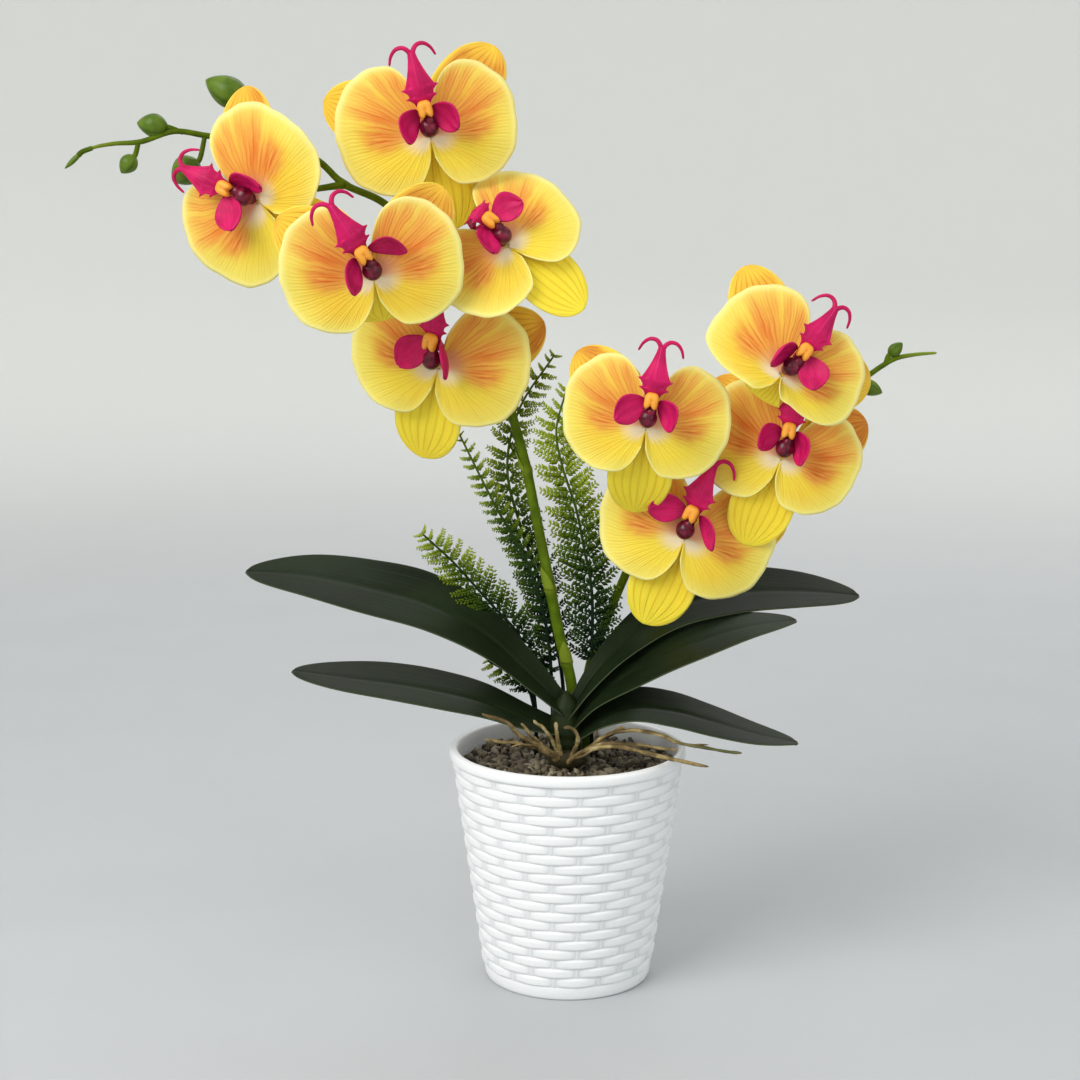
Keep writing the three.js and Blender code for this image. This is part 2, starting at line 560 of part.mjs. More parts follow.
function makeLip(bloom) {
  const curl = bloom.curl ?? 0;
  const frame = bloomFrame(bloom.at, bloom.lip, bloom.size);
  const place = (points) => points.map((p) => vec(bendBack(p, curl)).applyMatrix4(frame).toArray());
  const tendril = (side) =>
    rod(place([[side * 0.4, 37.6, 12.2], [side * 2.2, 41.2, 12.4], [side * 6, 42, 11.6],
               [side * 9.4, 39.4, 10], [side * 10.8, 35.2, 9]]), 1.2, 0.8, 3, 3);
  const claw = rod(place([[0, 9.6, 3.6], [0, 11.8, 6], [0, 14.8, 9.2]]), 2.1, 2.7, 5, 2);
  const [left, right] = bloom.lobes;
  const lobes = [makeMidlobe(curl), makeSideLobe(-1, left), makeSideLobe(1, right)];
  return join([claw, tendril(-1), tendril(1), ...lobes.map((g) => solid(g.applyMatrix4(frame)))]);
}

// The column is a short stalk with a round cap that leans over towards the lip.
function makeColumn(bloom) {
  const profile = [[0, 3.6], [2.7, 3.6], [4, 7.6], [3.4, 10.6], [0, 12]];
  const outline = profile.map(([r, z]) => new THREE.Vector2(r, z));
  const geometry = new THREE.LatheGeometry(outline, 6).rotateX(Math.PI / 2).translate(0, 4.3, 0);
  return solid(geometry.applyMatrix4(bloomFrame(bloom.at, bloom.lip, bloom.size)));
}

// The callus is a small saddle with two blunt prongs.
function makeCallus(bloom) {
  const outline = [[-3.6, 14.8], [-3.9, 10.4], [-1.6, 9.8], [-0.9, 12.2], [0.9, 12.2], [1.6, 9.8],
                   [3.9, 10.4], [3.6, 14.8], [1.8, 16.4], [-1.8, 16.4]];
  const shape = new THREE.Shape(outline.map(([x, y]) => new THREE.Vector2(x, y)));
  const geometry = new THREE.ExtrudeGeometry(shape, { depth: 2.6, bevelEnabled: false });
  geometry.translate(0, 0, 11.6);
  return solid(geometry.applyMatrix4(bloomFrame(bloom.at, bloom.lip, bloom.size)));
}

// ---- stems and ferns ----------------------------------------------------------------------------
// A stalk leaves the stem and ends just behind the cup of its bloom.
function makeStalk(curve, name, place, via) {
  const bloom = BLOOMS[name];
  const frame = bloomFrame(bloom.at, bloom.face, bloom.size);
  const start = curve.getPointAt(place).toArray();
  const behind = (z) => new THREE.Vector3(0, 0, z).applyMatrix4(frame).toArray();
  const route = [start, ...(via ? [via] : []), behind(-13), behind(-5 - GAP / bloom.size)];
  return rod(route, 1.8, 1.6, 4, route.length);
}

function makeStem(name) {
  const { points, radii, stalks } = STEMS[name];
  const curve = new THREE.CatmullRomCurve3(points.map(vec), false, "centripetal");
  const pieces = [rod(points, ...radii, 5, points.length)];
  for (const stalk of stalks) pieces.push(makeStalk(curve, ...stalk));
  for (const [owner, base, tip, thickness, start] of BUDS)
    if (owner === name) {
      const inside = vec(base).lerp(vec(tip), 0.2).toArray();
      pieces.push(budShape(base, tip, thickness), rod([start, base, inside], 1.3, 1.3, 4, 2));
    }
  return join(pieces);
}

// A fern spray: a bare stalk that turns into a blade with one saw tooth for each leaflet.
function makeFern([points, longest, pairs]) {
  const bare = 0.36;
  const lean = rad(58);
  const curve = new THREE.CatmullRomCurve3(points.map(vec), false, "centripetal");
  const surface = (u, v) => {
    const side = 2 * u - 1;
    const row = 2 * pairs * v;
    const tooth = 1 - Math.abs((row % 2) - 1);
    const length = longest * tooth * (0.45 + 0.55 * Math.sin(Math.PI * (0.25 + 0.7 * v)));
    const place = Math.min(1, bare + (1 - bare) * v);
    const along = curve.getTangentAt(place);
    const across = new THREE.Vector3(0, -1, 0).cross(along).normalize();
    const p = curve.getPointAt(place).addScaledVector(along, Math.abs(side) * length * Math.cos(lean));
    p.addScaledVector(across, side * Math.max(0.8, length * Math.sin(lean)));
    p.y += 0.2 * side * length * Math.sin(2.4 * Math.floor(row / 2));
    return p;
  };
  const stations = [0, 0.1, 0.2, 0.29, bare + 0.02];
  const stalk = rod(stations.map((t) => curve.getPointAt(t).toArray()), 1.2, 0.9, 4, stations.length);
  return join([solid(blade(surface, 2, 2 * pairs, FERN_THICK)), stalk]);
}

// ---- assembly -----------------------------------------------------------------------------------
const orchid = new THREE.Group();

function add(name, piece, material) {
  const { vertProperties, triVerts } = piece.getMesh();
  const geometry = new THREE.BufferGeometry();
  geometry.setAttribute("position", new THREE.Float32BufferAttribute(vertProperties, 3));
  geometry.setIndex([...triVerts]);
  const mesh = new THREE.Mesh(geometry, material);
  mesh.name = name;
  orchid.add(mesh);
}

const stems = Object.keys(STEMS).map((name) => [name, makeStem(name)]);
const stemSolids = stems.map(([, piece]) => piece);
const crown = makeCrown();
const leafPieces = [];
for (const [name, leaf] of Object.entries(LEAVES)) {
  const others = leafPieces.map(([, piece]) => piece);
  leafPieces.push([name, clearOf(makeLeaf(leaf), [crown, ...stemSolids, ...others])]);
}
const leafSolids = leafPieces.map(([, piece]) => piece);
const roots = clearOf(makeRoots(), [crown, ...leafSolids]);

const blooms = [];
for (const [name, bloom] of Object.entries(BLOOMS)) {
  const out = new THREE.Vector3(0, 0, 1).transformDirection(bloomFrame(bloom.at, bloom.lip, 1));
  const forwards = [[0, 0, 0], out.toArray()];
  const backwards = [[0, 0, 0], out.negate().toArray()];
  const tepals = makeTepals(bloom);
  const column = clearOf(makeColumn(bloom), [tepals], forwards);
  const callus = makeCallus(bloom);
  const free = clearOf(clearOf(makeLip(bloom), [tepals], forwards), [callus], backwards);
  const lip = clearOf(free, [column]);
  blooms.push({ name, tepals, column, callus, lip });
}
for (const bloom of blooms) {
  const others = blooms.filter((other) => other !== bloom);
  bloom.tepals = clearOf(bloom.tepals, others.flatMap(({ tepals, lip }) => [tepals, lip]));
}
const bloomSolids = blooms.flatMap(({ tepals, lip }) => [tepals, lip]);

const standing = [...stemSolids, ...leafSolids, crown, ...bloomSolids];
const ferns = [];
for (const [name, fern] of Object.entries(FERNS)) {
  const piece = clearOf(makeFern(fern), standing);
  ferns.push([name, piece]);
  standing.push(piece);
}

add("pot", makePot(), FINISH.pot);
add("filler", makeFiller(), FINISH.filler);
const holes = [makeHole([CROWN.x, CROWN.y], CROWN.radius + 0.5, 14)];
for (const { points, radii } of Object.values(STEMS)) holes.push(makeHole(points[0], radii[0] + 0.5, 7));
for (const [points] of Object.values(FERNS)) holes.push(makeHole(points[0], 2, 6));
add("grit", makeGrit().subtract(join(holes)), FINISH.grit);
add("crown", crown, FINISH.crown);
add("aerial_roots", roots, FINISH.root);
for (const [name, piece] of leafPieces) add(`leaf_${name}`, piece, FINISH.leaf);
for (const [name, piece] of stems) add(`flower_stem_${name}`, piece, FINISH.stem);
for (const { name, tepals, lip, column, callus } of blooms) {
  add(`bloom_${name}_tepals`, tepals, FINISH.tepal);
  add(`bloom_${name}_lip`, lip, FINISH.lip);
  add(`bloom_${name}_column`, column, FINISH.column);
  add(`bloom_${name}_callus`, callus, FINISH.callus);
}
for (const [name, piece] of ferns) add(`fern_${name}`, piece, FINISH.fern);

export default orchid;
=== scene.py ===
import math

import bpy
import numpy as np
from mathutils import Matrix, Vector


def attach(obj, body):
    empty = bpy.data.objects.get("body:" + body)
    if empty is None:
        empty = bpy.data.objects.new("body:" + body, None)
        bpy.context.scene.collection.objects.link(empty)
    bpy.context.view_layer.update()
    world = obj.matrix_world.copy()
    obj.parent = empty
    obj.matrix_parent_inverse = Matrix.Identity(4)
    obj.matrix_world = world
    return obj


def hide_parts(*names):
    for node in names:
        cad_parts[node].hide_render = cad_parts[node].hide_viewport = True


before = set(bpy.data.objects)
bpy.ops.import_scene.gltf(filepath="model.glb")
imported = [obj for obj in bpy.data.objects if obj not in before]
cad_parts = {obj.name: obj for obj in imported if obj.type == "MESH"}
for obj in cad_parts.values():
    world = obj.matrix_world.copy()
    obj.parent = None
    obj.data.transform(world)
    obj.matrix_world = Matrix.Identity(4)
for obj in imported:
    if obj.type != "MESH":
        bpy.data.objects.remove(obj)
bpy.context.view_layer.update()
collection = bpy.context.scene.collection
MM = 0.001
print("pieces in the frame:", len(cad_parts))

# %% [markdown]
# ## Camera, floor and light
# The camera stands where the picture's perspective puts it: a metre away, a little above the blooms
# and looking down by ten degrees. Three soft lights stand round it, as in a small studio.
# %% Camera
CAMERA_PLACE = (0.0, -1.033, 0.404)
CAMERA_DOWN = 9.8  # degrees below level
CAMERA_LEFT = 0.78  # degrees
CAMERA_LENS = 70

camera = bpy.data.objects.new("camera", bpy.data.cameras.new("camera"))
camera.data.lens = CAMERA_LENS
camera.data.sensor_width = 36
camera.location = CAMERA_PLACE
camera.rotation_euler = (math.radians(90 - CAMERA_DOWN), 0, math.radians(CAMERA_LEFT))
collection.objects.link(camera)
bpy.context.scene.camera = camera
bpy.context.scene.view_settings.view_transform = "Standard"

# %% Lights
LIT_POINT = (0, 0, 0.25)


def softbox(name, place, size, watts, warmth):
    """A square area light at a place, turned towards the plant's middle."""
    data = bpy.data.lights.new(name, "AREA")
    data.size, data.energy, data.color = size, watts, warmth
    lamp = bpy.data.objects.new(name, data)
    lamp.location = place
    towards = Vector(LIT_POINT) - lamp.location
    lamp.rotation_euler = towards.to_track_quat("-Z", "Y").to_euler()
    collection.objects.link(lamp)


softbox("key_light", (-1.1, -1.2, 1.4), 1.2, 29, (1.0, 0.985, 0.96))
softbox("fill_light", (1.3, -1.1, 0.9), 1.4, 5.5, (0.96, 0.98, 1.0))
softbox("back_light", (0.4, 1.3, 1.4), 1.4, 7, (1.0, 1.0, 1.0))
world = bpy.data.worlds.new("studio")
bpy.context.scene.world = world
world.use_nodes = True
sky = world.node_tree.nodes["Background"].inputs
sky["Color"].default_value = (0.98, 0.985, 1, 1)
sky["Strength"].default_value = 0.78

# %% [markdown]
# ## A small language for finishes
# A finish is a tree of nodes. Writing it as sums is easier to read than wiring boxes, so a `Wire`
# stands for one output socket, and each operator on it adds the Math node that does the sum.
# %% Wires and finishes
def ink(text):
    """A hex colour, turned from screen values into linear light."""
    screen = np.array([int(text[k:k + 2], 16) / 255 for k in (1, 3, 5)])
    linear = np.where(screen < 0.04045, screen / 12.92, ((screen + 0.055) / 1.055) ** 2.4)
    return tuple(float(c) for c in linear) + (1.0,)


class Wire:
    """One output socket; arithmetic on it adds Math nodes."""

    def __init__(self, finish, socket):
        self.finish, self.socket = finish, socket

    def sum(self, operation, *terms):
        settings = {"operation": operation}
        return self.finish.node("ShaderNodeMath", settings, dict(enumerate(terms)))

    def __add__(self, other):
        return self.sum("ADD", self, other)

    def __sub__(self, other):
        return self.sum("SUBTRACT", self, other)

    def __rsub__(self, other):
        return self.sum("SUBTRACT", other, self)

    def __mul__(self, other):
        return self.sum("MULTIPLY", self, other)

    def __truediv__(self, other):
        return self.sum("DIVIDE", self, other)

    def __pow__(self, other):
        return self.sum("POWER", self, other)

    def __abs__(self):
        return self.sum("ABSOLUTE", self)

    def between(self, low, high):
        """0 up to low, 1 from high on, with a soft step between; low above high turns it round."""
        values = {0: self, 1: min(low, high), 2: max(low, high), 3: float(low > high), 4: float(low < high)}
        return self.finish.node("ShaderNodeMapRange", {"interpolation_type": "SMOOTHSTEP"}, values)

    def hill(self, centre, half):
        """1 at the centre, falling softly to 0 at half to either side."""
        return abs(self - centre).between(half, 0)

    __radd__ = __add__
    __rmul__ = __mul__


class Finish:
    """A material being written: node() adds any node, paint() sets what the surface shows."""

    def __init__(self, name, **constants):
        self.material = bpy.data.materials.new(name)
        self.material.use_nodes = True
        self.nodes = self.material.node_tree.nodes
        self.shader = self.nodes["Principled BSDF"]
        for socket, value in constants.items():
            self.shader.inputs[socket.replace("_", " ")].default_value = value

    def node(self, kind, settings=None, values=None, out=0):
        """A node of a kind: first its settings, then a number, colour or wire for each socket."""
        node = self.nodes.new(kind)
        for key, value in (settings or {}).items():
            if key == "stops":
                ramp = node.color_ramp
                while len(ramp.elements) < len(value):
                    ramp.elements.new(0.5)
                for element, (place, colour) in zip(ramp.elements, value):
                    element.position, element.color = place, ink(colour)
            else:
                setattr(node, key, value)
        for key, value in (values or {}).items():
            if isinstance(value, Wire):
                self.material.node_tree.links.new(value.socket, node.inputs[key])
            else:
                node.inputs[key].default_value = value
        return Wire(self, node.outputs[out])

    def place(self):
        return self.node("ShaderNodeTexCoord", out="Object")

    def part(self, vector, key):
        """One of a vector's three numbers."""
        return self.node("ShaderNodeSeparateXYZ", values={0: vector}, out=key)

    def mark(self):
        """The number that the mesh carries at each point."""
        return self.node("ShaderNodeAttribute", {"attribute_name": "mark"}, out="Fac")

    def map(self):
        """The two numbers of the piece's own map: across and along."""
        both = self.node("ShaderNodeUVMap", {"uv_map": "UVMap"})
        return [self.part(both, k) for k in (0, 1)]

    def noise(self, scale, detail=2.0, at=None):
        """Cloudy numbers about 0.5."""
        values = {"Vector": at or self.place(), "Scale": scale, "Detail": detail}
        return self.node("ShaderNodeTexNoise", values=values)

    def drawn(self, detail, x, y, z=0.0):
        """Noise read at three numbers of choice, so that it can be drawn out along one of them."""
        return self.noise(1.0, detail, self.node("ShaderNodeCombineXYZ", values={0: x, 1: y, 2: z}))

    def mix(self, factor, first, second):
        """The first colour where factor is 0, the second where it is 1."""
        first, second = (ink(c) if isinstance(c, str) else c for c in (first, second))
        values = {0: factor, 6: first, 7: second}
        return self.node("ShaderNodeMix", {"data_type": "RGBA", "clamp_factor": True}, values, 2)

    def layers(self, colour, *layers):
        """Each layer is a factor and a colour that it lays over all before it."""
        for factor, over in layers:
            colour = self.mix(factor, colour, over)
        return colour

    def ramp(self, factor, *stops):
        return self.node("ShaderNodeValToRGB", {"stops": stops}, {0: factor})

    def paint(self, colour, roughness, height=None, depth=0.1):
        """Colour and roughness of the surface, and bumps whose height is worth depth millimetres."""
        link = self.material.node_tree.links.new
        link(colour.socket, self.shader.inputs["Base Color"])
        link(roughness.socket, self.shader.inputs["Roughness"])
        if height:
            values = {"Height": height, "Distance": depth * MM, "Strength": 1.0}
            link(self.node("ShaderNodeBump", values=values).socket, self.shader.inputs["Normal"])
        return self.material


# %% [markdown]
# ## Surfaces from arrays
# Every new piece is a grid of points: a formula is worked out for all of them at once with numpy, and
# the grid's neighbours become faces. A closed grid of rings makes tubes, pots, buds and pebbles; a
# sheet with a front, a back and a rim makes petals and leaves. `Skin` keeps such a surface until
# `build` stacks several of them into one mesh.
# %% Grids and skins
class Skin:
    """Points (n, 3) in millimetres, quads and triangles, a map (n, 2) and one mark per point."""

    def __init__(self, points, quads, triangles, chart, mark=0.0, slot=0):
        self.points = points.reshape(-1, 3)
        self.quads = quads
        self.triangles = triangles.reshape(-1, 3)
        self.chart = chart.reshape(-1, 2)
        self.mark = np.broadcast_to(mark, len(self.points)).astype(float)
        self.slot = slot


def unit(vectors):
    return vectors / np.linalg.norm(vectors, axis=-1, keepdims=True)


def lattice(rows, columns):
    """Two arrays that rise evenly from 0 to 1: one down the rows, one across the columns."""
    return np.meshgrid(np.linspace(0, 1, rows), np.linspace(0, 1, columns), indexing="ij")


def circle(count):
    """Angles at even steps round a full turn."""
    return np.linspace(0, 2 * np.pi, count, endpoint=False)


def grid_quads(rows, columns, wrap):
    """Quads between the neighbours of a grid; wrap joins the end of each row to its start."""
    i, j = np.meshgrid(np.arange(rows - 1), np.arange(columns - (not wrap)), indexing="ij")
    a, b = i * columns + j, i * columns + (j + 1) % columns
    return np.stack([a, b, b + columns, a + columns], axis=-1).reshape(-1, 4)


def shell(rings, start, end, mark=0.0, slot=0):
    """Rings (rows, columns, 3) joined into a closed skin, with one point at each end."""
    rows, columns = rings.shape[:2]
    points = np.vstack([rings.reshape(-1, 3), start, end])
    j = np.arange(columns)
    k = (j + 1) % columns
    first, last = rows * columns, rows * columns + 1
    top = (rows - 1) * columns
    caps = np.concatenate([np.stack([0 * j + first, k, j], 1),
                           np.stack([0 * j + last, top + j, top + k], 1)])
    v, u = np.meshgrid(np.linspace(0, 1, rows), j / columns, indexing="ij")
    chart = np.vstack([np.stack([u, v], -1).reshape(-1, 2), [0.5, 0], [0.5, 1]])
    if np.ndim(mark):
        mark = np.append(np.repeat(mark, columns), [mark[0], mark[-1]])
    return Skin(points, grid_quads(rows, columns, True), caps, chart, mark, slot)


def turned(profile, sides):
    """A profile of (radius, height) turned about Z; it starts and ends on the axis."""
    r, z = np.asarray(profile, float)[1:-1].T[:, :, None]
    a = circle(sides)
    rings = np.stack([r * np.cos(a), r * np.sin(a), z + 0 * a], -1)
    return shell(rings, [0, 0, profile[0][1]], [0, 0, profile[-1][1]])


def smooth_line(points, count):
    """A centripetal Catmull-Rom curve through the points, sampled at equal steps of its length."""
    p = np.asarray(points, float)
    p = np.vstack([2 * p[0] - p[1], p, 2 * p[-1] - p[-2]])
    step = np.linalg.norm(np.diff(p, axis=0), axis=1)[:, None] ** 0.5
    before, here, after = step[:-2], step[1:-1], step[2:]
    a, b, c, d = p[:-3], p[1:-2], p[2:-1], p[3:]
    leave = ((b - a) / before - (c - a) / (before + here) + (c - b) / here) * here
    arrive = ((c - b) / here - (d - b) / (here + after) + (d - c) / after) * here
    t = np.linspace(0, 1, 24, endpoint=False)[:, None, None]
    cubic = b + leave * t + (3 * (c - b) - 2 * leave - arrive) * t**2
    cubic = cubic + (2 * (b - c) + leave + arrive) * t**3
    dense = np.vstack([cubic.transpose(1, 0, 2).reshape(-1, p.shape[1]), p[-2]])
    length = np.append(0, np.cumsum(np.linalg.norm(np.diff(dense, axis=0), axis=1)))
    return blend(np.linspace(0, length[-1], count), length, dense)


def blend(x, places, values):
    """Straight-line blends between rows of values given at rising places."""
    values = np.asarray(values, float)
    return np.stack([np.interp(x, places, column) for column in values.T], axis=-1)


def tube(path, radius, sides=12, mark=0.0, flatten=1.0):
    """Circles about a path, each square to it; flatten narrows them along the path's own plane."""
    path = np.asarray(path, float)
    radius = np.broadcast_to(radius, len(path))
    tangent = unit(np.gradient(path, axis=0))
    plane = np.linalg.svd(path - path.mean(0))[2][2]
    side = unit(np.cross(tangent, plane))
    lift = np.cross(tangent, side)
    a = circle(sides)[None, :, None]
    ring = flatten * np.cos(a) * side[:, None] + np.sin(a) * lift[:, None]
    rings = path[:, None] + radius[:, None, None] * ring
    return shell(rings, path[0], path[-1], mark)


def rounded(count, share):
    """Radius factors along a tube that close both its ends like a dome."""
    t = np.linspace(0, 1, count)
    edge = np.clip(np.minimum(t, 1 - t) / share, 0.02, 1)
    return np.sqrt(1 - (1 - edge) ** 2)


def sheet(middle, thickness, mark=0.0, slot=0):
    """A sheet about a middle surface (rows, columns, 3): front and back along its normal, and a rim.

    Seen from the front, the turn from the columns' direction to the rows' is anticlockwise. The map is
    across and along; the mark has 1 added on the back.
    """
    rows, columns = middle.shape[:2]
    normal = unit(np.cross(np.gradient(middle, axis=1), np.gradient(middle, axis=0)))
    offset = normal * np.broadcast_to(thickness, (rows, columns))[..., None] / 2
    index = np.arange(rows * columns).reshape(rows, columns)
    loop = np.concatenate([index[0], index[1:, -1], index[-1, -2::-1], index[-2:0:-1, 0]])
    after, count = np.roll(loop, -1), rows * columns
    rim = np.stack([loop, loop + count, after + count, after], axis=1)
    faces = grid_quads(rows, columns, False)
    quads = np.concatenate([faces, faces[:, ::-1] + count, rim])
    v, u = lattice(rows, columns)
    chart = np.tile(np.stack([u, v], -1).reshape(-1, 2), (2, 1))
    marks = np.repeat([mark, mark + 1], count)
    points = np.stack([middle + offset, middle - offset])
    return Skin(points, quads, np.empty((0, 3), int), chart, marks, slot)


# %% Building a mesh
def build(name, skins, finishes, nodes):
    """Stacks skins into one mesh in metres, and lets it stand for its CAD nodes on the root body."""
    starts = np.cumsum([0] + [len(s.points) for s in skins])
    quads = np.concatenate([s.quads + o for s, o in zip(skins, starts)])
    triangles = np.concatenate([s.triangles + o for s, o in zip(skins, starts)])
    corners = np.concatenate([quads.ravel(), triangles.ravel()])
    first = np.concatenate([4 * np.arange(len(quads)), 4 * len(quads) + 3 * np.arange(len(triangles))])
    slots = np.concatenate([np.full(len(s.quads), s.slot) for s in skins]
                           + [np.full(len(s.triangles), s.slot) for s in skins])
    mesh = bpy.data.meshes.new(name)
    mesh.vertices.add(starts[-1])
    mesh.vertices.foreach_set("co", np.concatenate([s.points for s in skins]).ravel() * MM)
    mesh.loops.add(len(corners))
    mesh.loops.foreach_set("vertex_index", corners)
    mesh.polygons.add(len(first))
    mesh.polygons.foreach_set("loop_start", first)
    mesh.polygons.foreach_set("material_index", slots)
    mesh.polygons.foreach_set("use_smooth", np.ones(len(first), bool))
    mesh.uv_layers.new(name="UVMap").data.foreach_set(
        "uv", np.concatenate([s.chart for s in skins])[corners].ravel())
    mark = mesh.attributes.new("mark", "FLOAT", "POINT")
    mark.data.foreach_set("value", np.concatenate([s.mark for s in skins]))
    mesh.update(calc_edges=True)
    for finish in finishes:
        mesh.materials.append(finish)
    piece = bpy.data.objects.new(name, mesh)
    collection.objects.link(piece)
    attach(piece, "root")
    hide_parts(*nodes)
    print(f"{name}: {len(quads) * 2 + len(triangles)} triangles")


# %% [markdown]
# ## The floor
# A plain pale floor that curves up far behind, like a wide shallow bowl, so no view shows a hard
# horizon. Its colour is painted darker near the plant and paler towards the back: painted shade near
# the plant and painted light further off. It isn't part of the plant.
# %% Floor
def make_sweep(flat=1.6, bend=1.3, height=3.4, sides=96):
    """The profile is level, then a quarter circle, then upright; it is turned about Z, in metres."""
    a = np.linspace(0, np.pi / 2, 20)
    r = np.concatenate([np.linspace(0.02, flat, 9)[:-1], flat + bend * np.sin(a), [flat + bend]])
    z = np.concatenate([np.zeros(8), bend * (1 - np.cos(a)), [height]])
    turn_by = circle(sides)[None]
    r, z = r[:, None], z[:, None] + 0 * turn_by
    rings = np.stack([r * np.cos(turn_by), r * np.sin(turn_by), z], -1)
    return rings.reshape(-1, 3).tolist(), grid_quads(len(r), sides, True).tolist() + [list(range(sides))]


floor_finish = Finish("floor_pale", Specular_IOR_Level=0.2)
speckle = floor_finish.noise(9, 3)
floor_x, floor_y = [floor_finish.part(floor_finish.place(), k) for k in (0, 1)]
# The floor is painted darker near the plant and paler towards the back: painted shade and painted light.
far_painted_light = (floor_x * floor_x + floor_y * floor_y).between(0.3, 5)
floor_tone = floor_finish.layers("#b8bbbd", (speckle, "#bec1c3"), (far_painted_light, "#e9eae7"))
floor = bpy.data.objects.new("floor", bpy.data.meshes.new("floor"))
floor_points, floor_faces = make_sweep()
floor.data.from_pydata(floor_points, [], floor_faces)
floor.data.polygons.foreach_set("use_smooth", [True] * len(floor_faces))
floor.data.materials.append(floor_finish.paint(floor_tone, speckle * 0.1 + 0.7))
collection.objects.link(floor)

# %% [markdown]
# ## The pot
# A moulded plastic pot that imitates a basket: flat straps run round it in rows, each bowed out
# between the stakes that they seem to pass behind, and at every stake a slim upright rib shows
# between two grooves. Alternate rows are shifted by half a strap. Because all of it is one moulded
# wall, it is one grid: the radius is the cone's, plus the strap's bow, plus the ribs.
# %% Pot finish
POT_HEIGHT, POT_FOOT, POT_TOP, POT_WALL, POT_FLOOR = 120, 42, 58.7, 2.7, 3
FOOT_BAND, RIM_FROM, RIM_RADIUS, RIM_INNER = 7, 114.2, 59.9, 55.8
ROWS, STAKES, FIRST_STAKE = 21, 12, -8.7
HALF_STRAP = 180 / STAKES  # degrees
STAKE_EDGE = 1.1
GRIT_TOP = 111.5

plastic = Finish("pot_plastic", Specular_IOR_Level=0.5, Coat_Weight=0.15, Coat_Roughness=0.3)
mottle = plastic.noise(14, 4)
pot_height = plastic.part(plastic.place(), 2)
grain = plastic.drawn(2, plastic.map()[0] * 60, pot_height * 2600)
# The mark greys the weave's recesses: painted shade. The mottle and grain are the plastic's own tone.
plastic_white = plastic.paint(
    plastic.mix(mottle * 0.2 + grain * 0.12 + plastic.mark() * 0.36, "#f6f8f9", "#cccfd2"),
    mottle * 0.14 + 0.32, grain * 0.8 + mottle, 0.1)

# %% Pot surface
def pot_cone(z):
    return POT_FOOT + (POT_TOP - POT_FOOT) * z / POT_HEIGHT


def make_pot():
    """The radius over angle and height: cone + bow(height in row) x bow(angle in strap) + rib.

    Samples crowd near the stakes, where the wall changes quickly.
    """
    near = np.array([0, 0.4, 0.75, 1.1, 1.45, 1.9, 2.8, 4.8]) / HALF_STRAP
    step = np.concatenate([near, 1 - near[:0:-1]])[:-1]
    spots = HALF_STRAP * (np.arange(2 * STAKES)[:, None] + np.append(step, 1 - near[1])[None])
    angle = FIRST_STAKE + spots.ravel()
    in_row = np.array([0.0, 0.05, 0.13, 0.24, 0.4, 0.6, 0.76, 0.87, 0.95])
    pitch = (RIM_FROM - FOOT_BAND) / ROWS
    z = (FOOT_BAND + pitch * (np.arange(ROWS)[:, None] + in_row[None])).ravel()[:, None]
    row = np.repeat(np.arange(ROWS), len(in_row))[:, None]
    t = np.tile(in_row, ROWS)[:, None]
    shifted = HALF_STRAP * ((ROWS - 1 - row) % 2)
    from_stake = (angle[None] - FIRST_STAKE - shifted + HALF_STRAP) % (2 * HALF_STRAP) - HALF_STRAP
    reach = np.radians(np.abs(from_stake)) * pot_cone(z)
    narrow = 1 - 0.34 * np.exp(-np.clip(reach - STAKE_EDGE, 0, None) / 3.2)
    across = np.clip(1 - (np.abs(2 * t - 1) / narrow) ** 7, 0, 1)
    strap = np.clip((reach - STAKE_EDGE) / 0.8, 0, 1) ** 0.6
    dip = 0.3 + 0.7 * np.sin(np.pi / 2 * np.clip((reach - STAKE_EDGE) / 11, 0, 1))
    rib = np.clip(1 - (reach / 0.85) ** 4, 0, 1) - 0.5 * np.exp(-(reach / 0.25) ** 2)
    bow = (1.0 + 0.25 * (0.5 - t)) * across * strap * dip
    wall = pot_cone(z) - 0.15 + bow + 0.4 * (1 - np.abs(2 * t - 1) ** 5) * rib
    # This mask greys the wall where the weave sinks in: painted shade, carried to the finish by the mark.
    recess_painted_shade = np.clip(1 - (wall - pot_cone(z)) / 0.4, 0, 1)

    def bands(pairs):
        heights, radii = np.array(pairs, float).T
        return heights[:, None], radii[:, None] + 0 * angle[None]

    low_z, low_r = bands([(0, 40.6), (0.25, 41.4), (0.8, 41.9), (1.6, 42.3), (6.2, pot_cone(6.2) + 0.1),
                          (6.7, pot_cone(6.7) - 0.05)])
    high = [(RIM_FROM, pot_cone(RIM_FROM) - 0.25), (RIM_FROM + 0.25, 59.0), (RIM_FROM + 0.7, 59.6),
            (RIM_FROM + 1.5, RIM_RADIUS), (118, RIM_RADIUS + 0.05), (119, 59.75), (119.6, 59.3),
            (119.93, 58.6), (120, 57.9), (119.95, 57.0), (119.6, 56.3), (118.9, RIM_INNER),
            (115, 55.4), (GRIT_TOP - 4, pot_cone(GRIT_TOP - 4) - POT_WALL)]
    floor_radius = pot_cone(POT_FLOOR) - POT_WALL
    high += [(60, pot_cone(60) - POT_WALL), (POT_FLOOR + 1, floor_radius), (POT_FLOOR, floor_radius - 1)]
    high_z, high_r = bands(high)
    heights = np.vstack([low_z, z, high_z])
    radii = np.vstack([low_r, wall, high_r])
    a = np.radians(angle)[None]
    rings = np.stack([radii * np.sin(a), -radii * np.cos(a), heights + 0 * a], -1)
    skin = shell(rings, [0, 0, 0], [0, 0, POT_FLOOR])
    painted_shade = np.zeros(radii.shape)
    painted_shade[len(low_z):len(low_z) + len(z)] = recess_painted_shade
    skin.mark = np.append(painted_shade.ravel(), [0, 0])
    return skin


build("woven_pot", [make_pot()], [plastic_white], ["pot"])
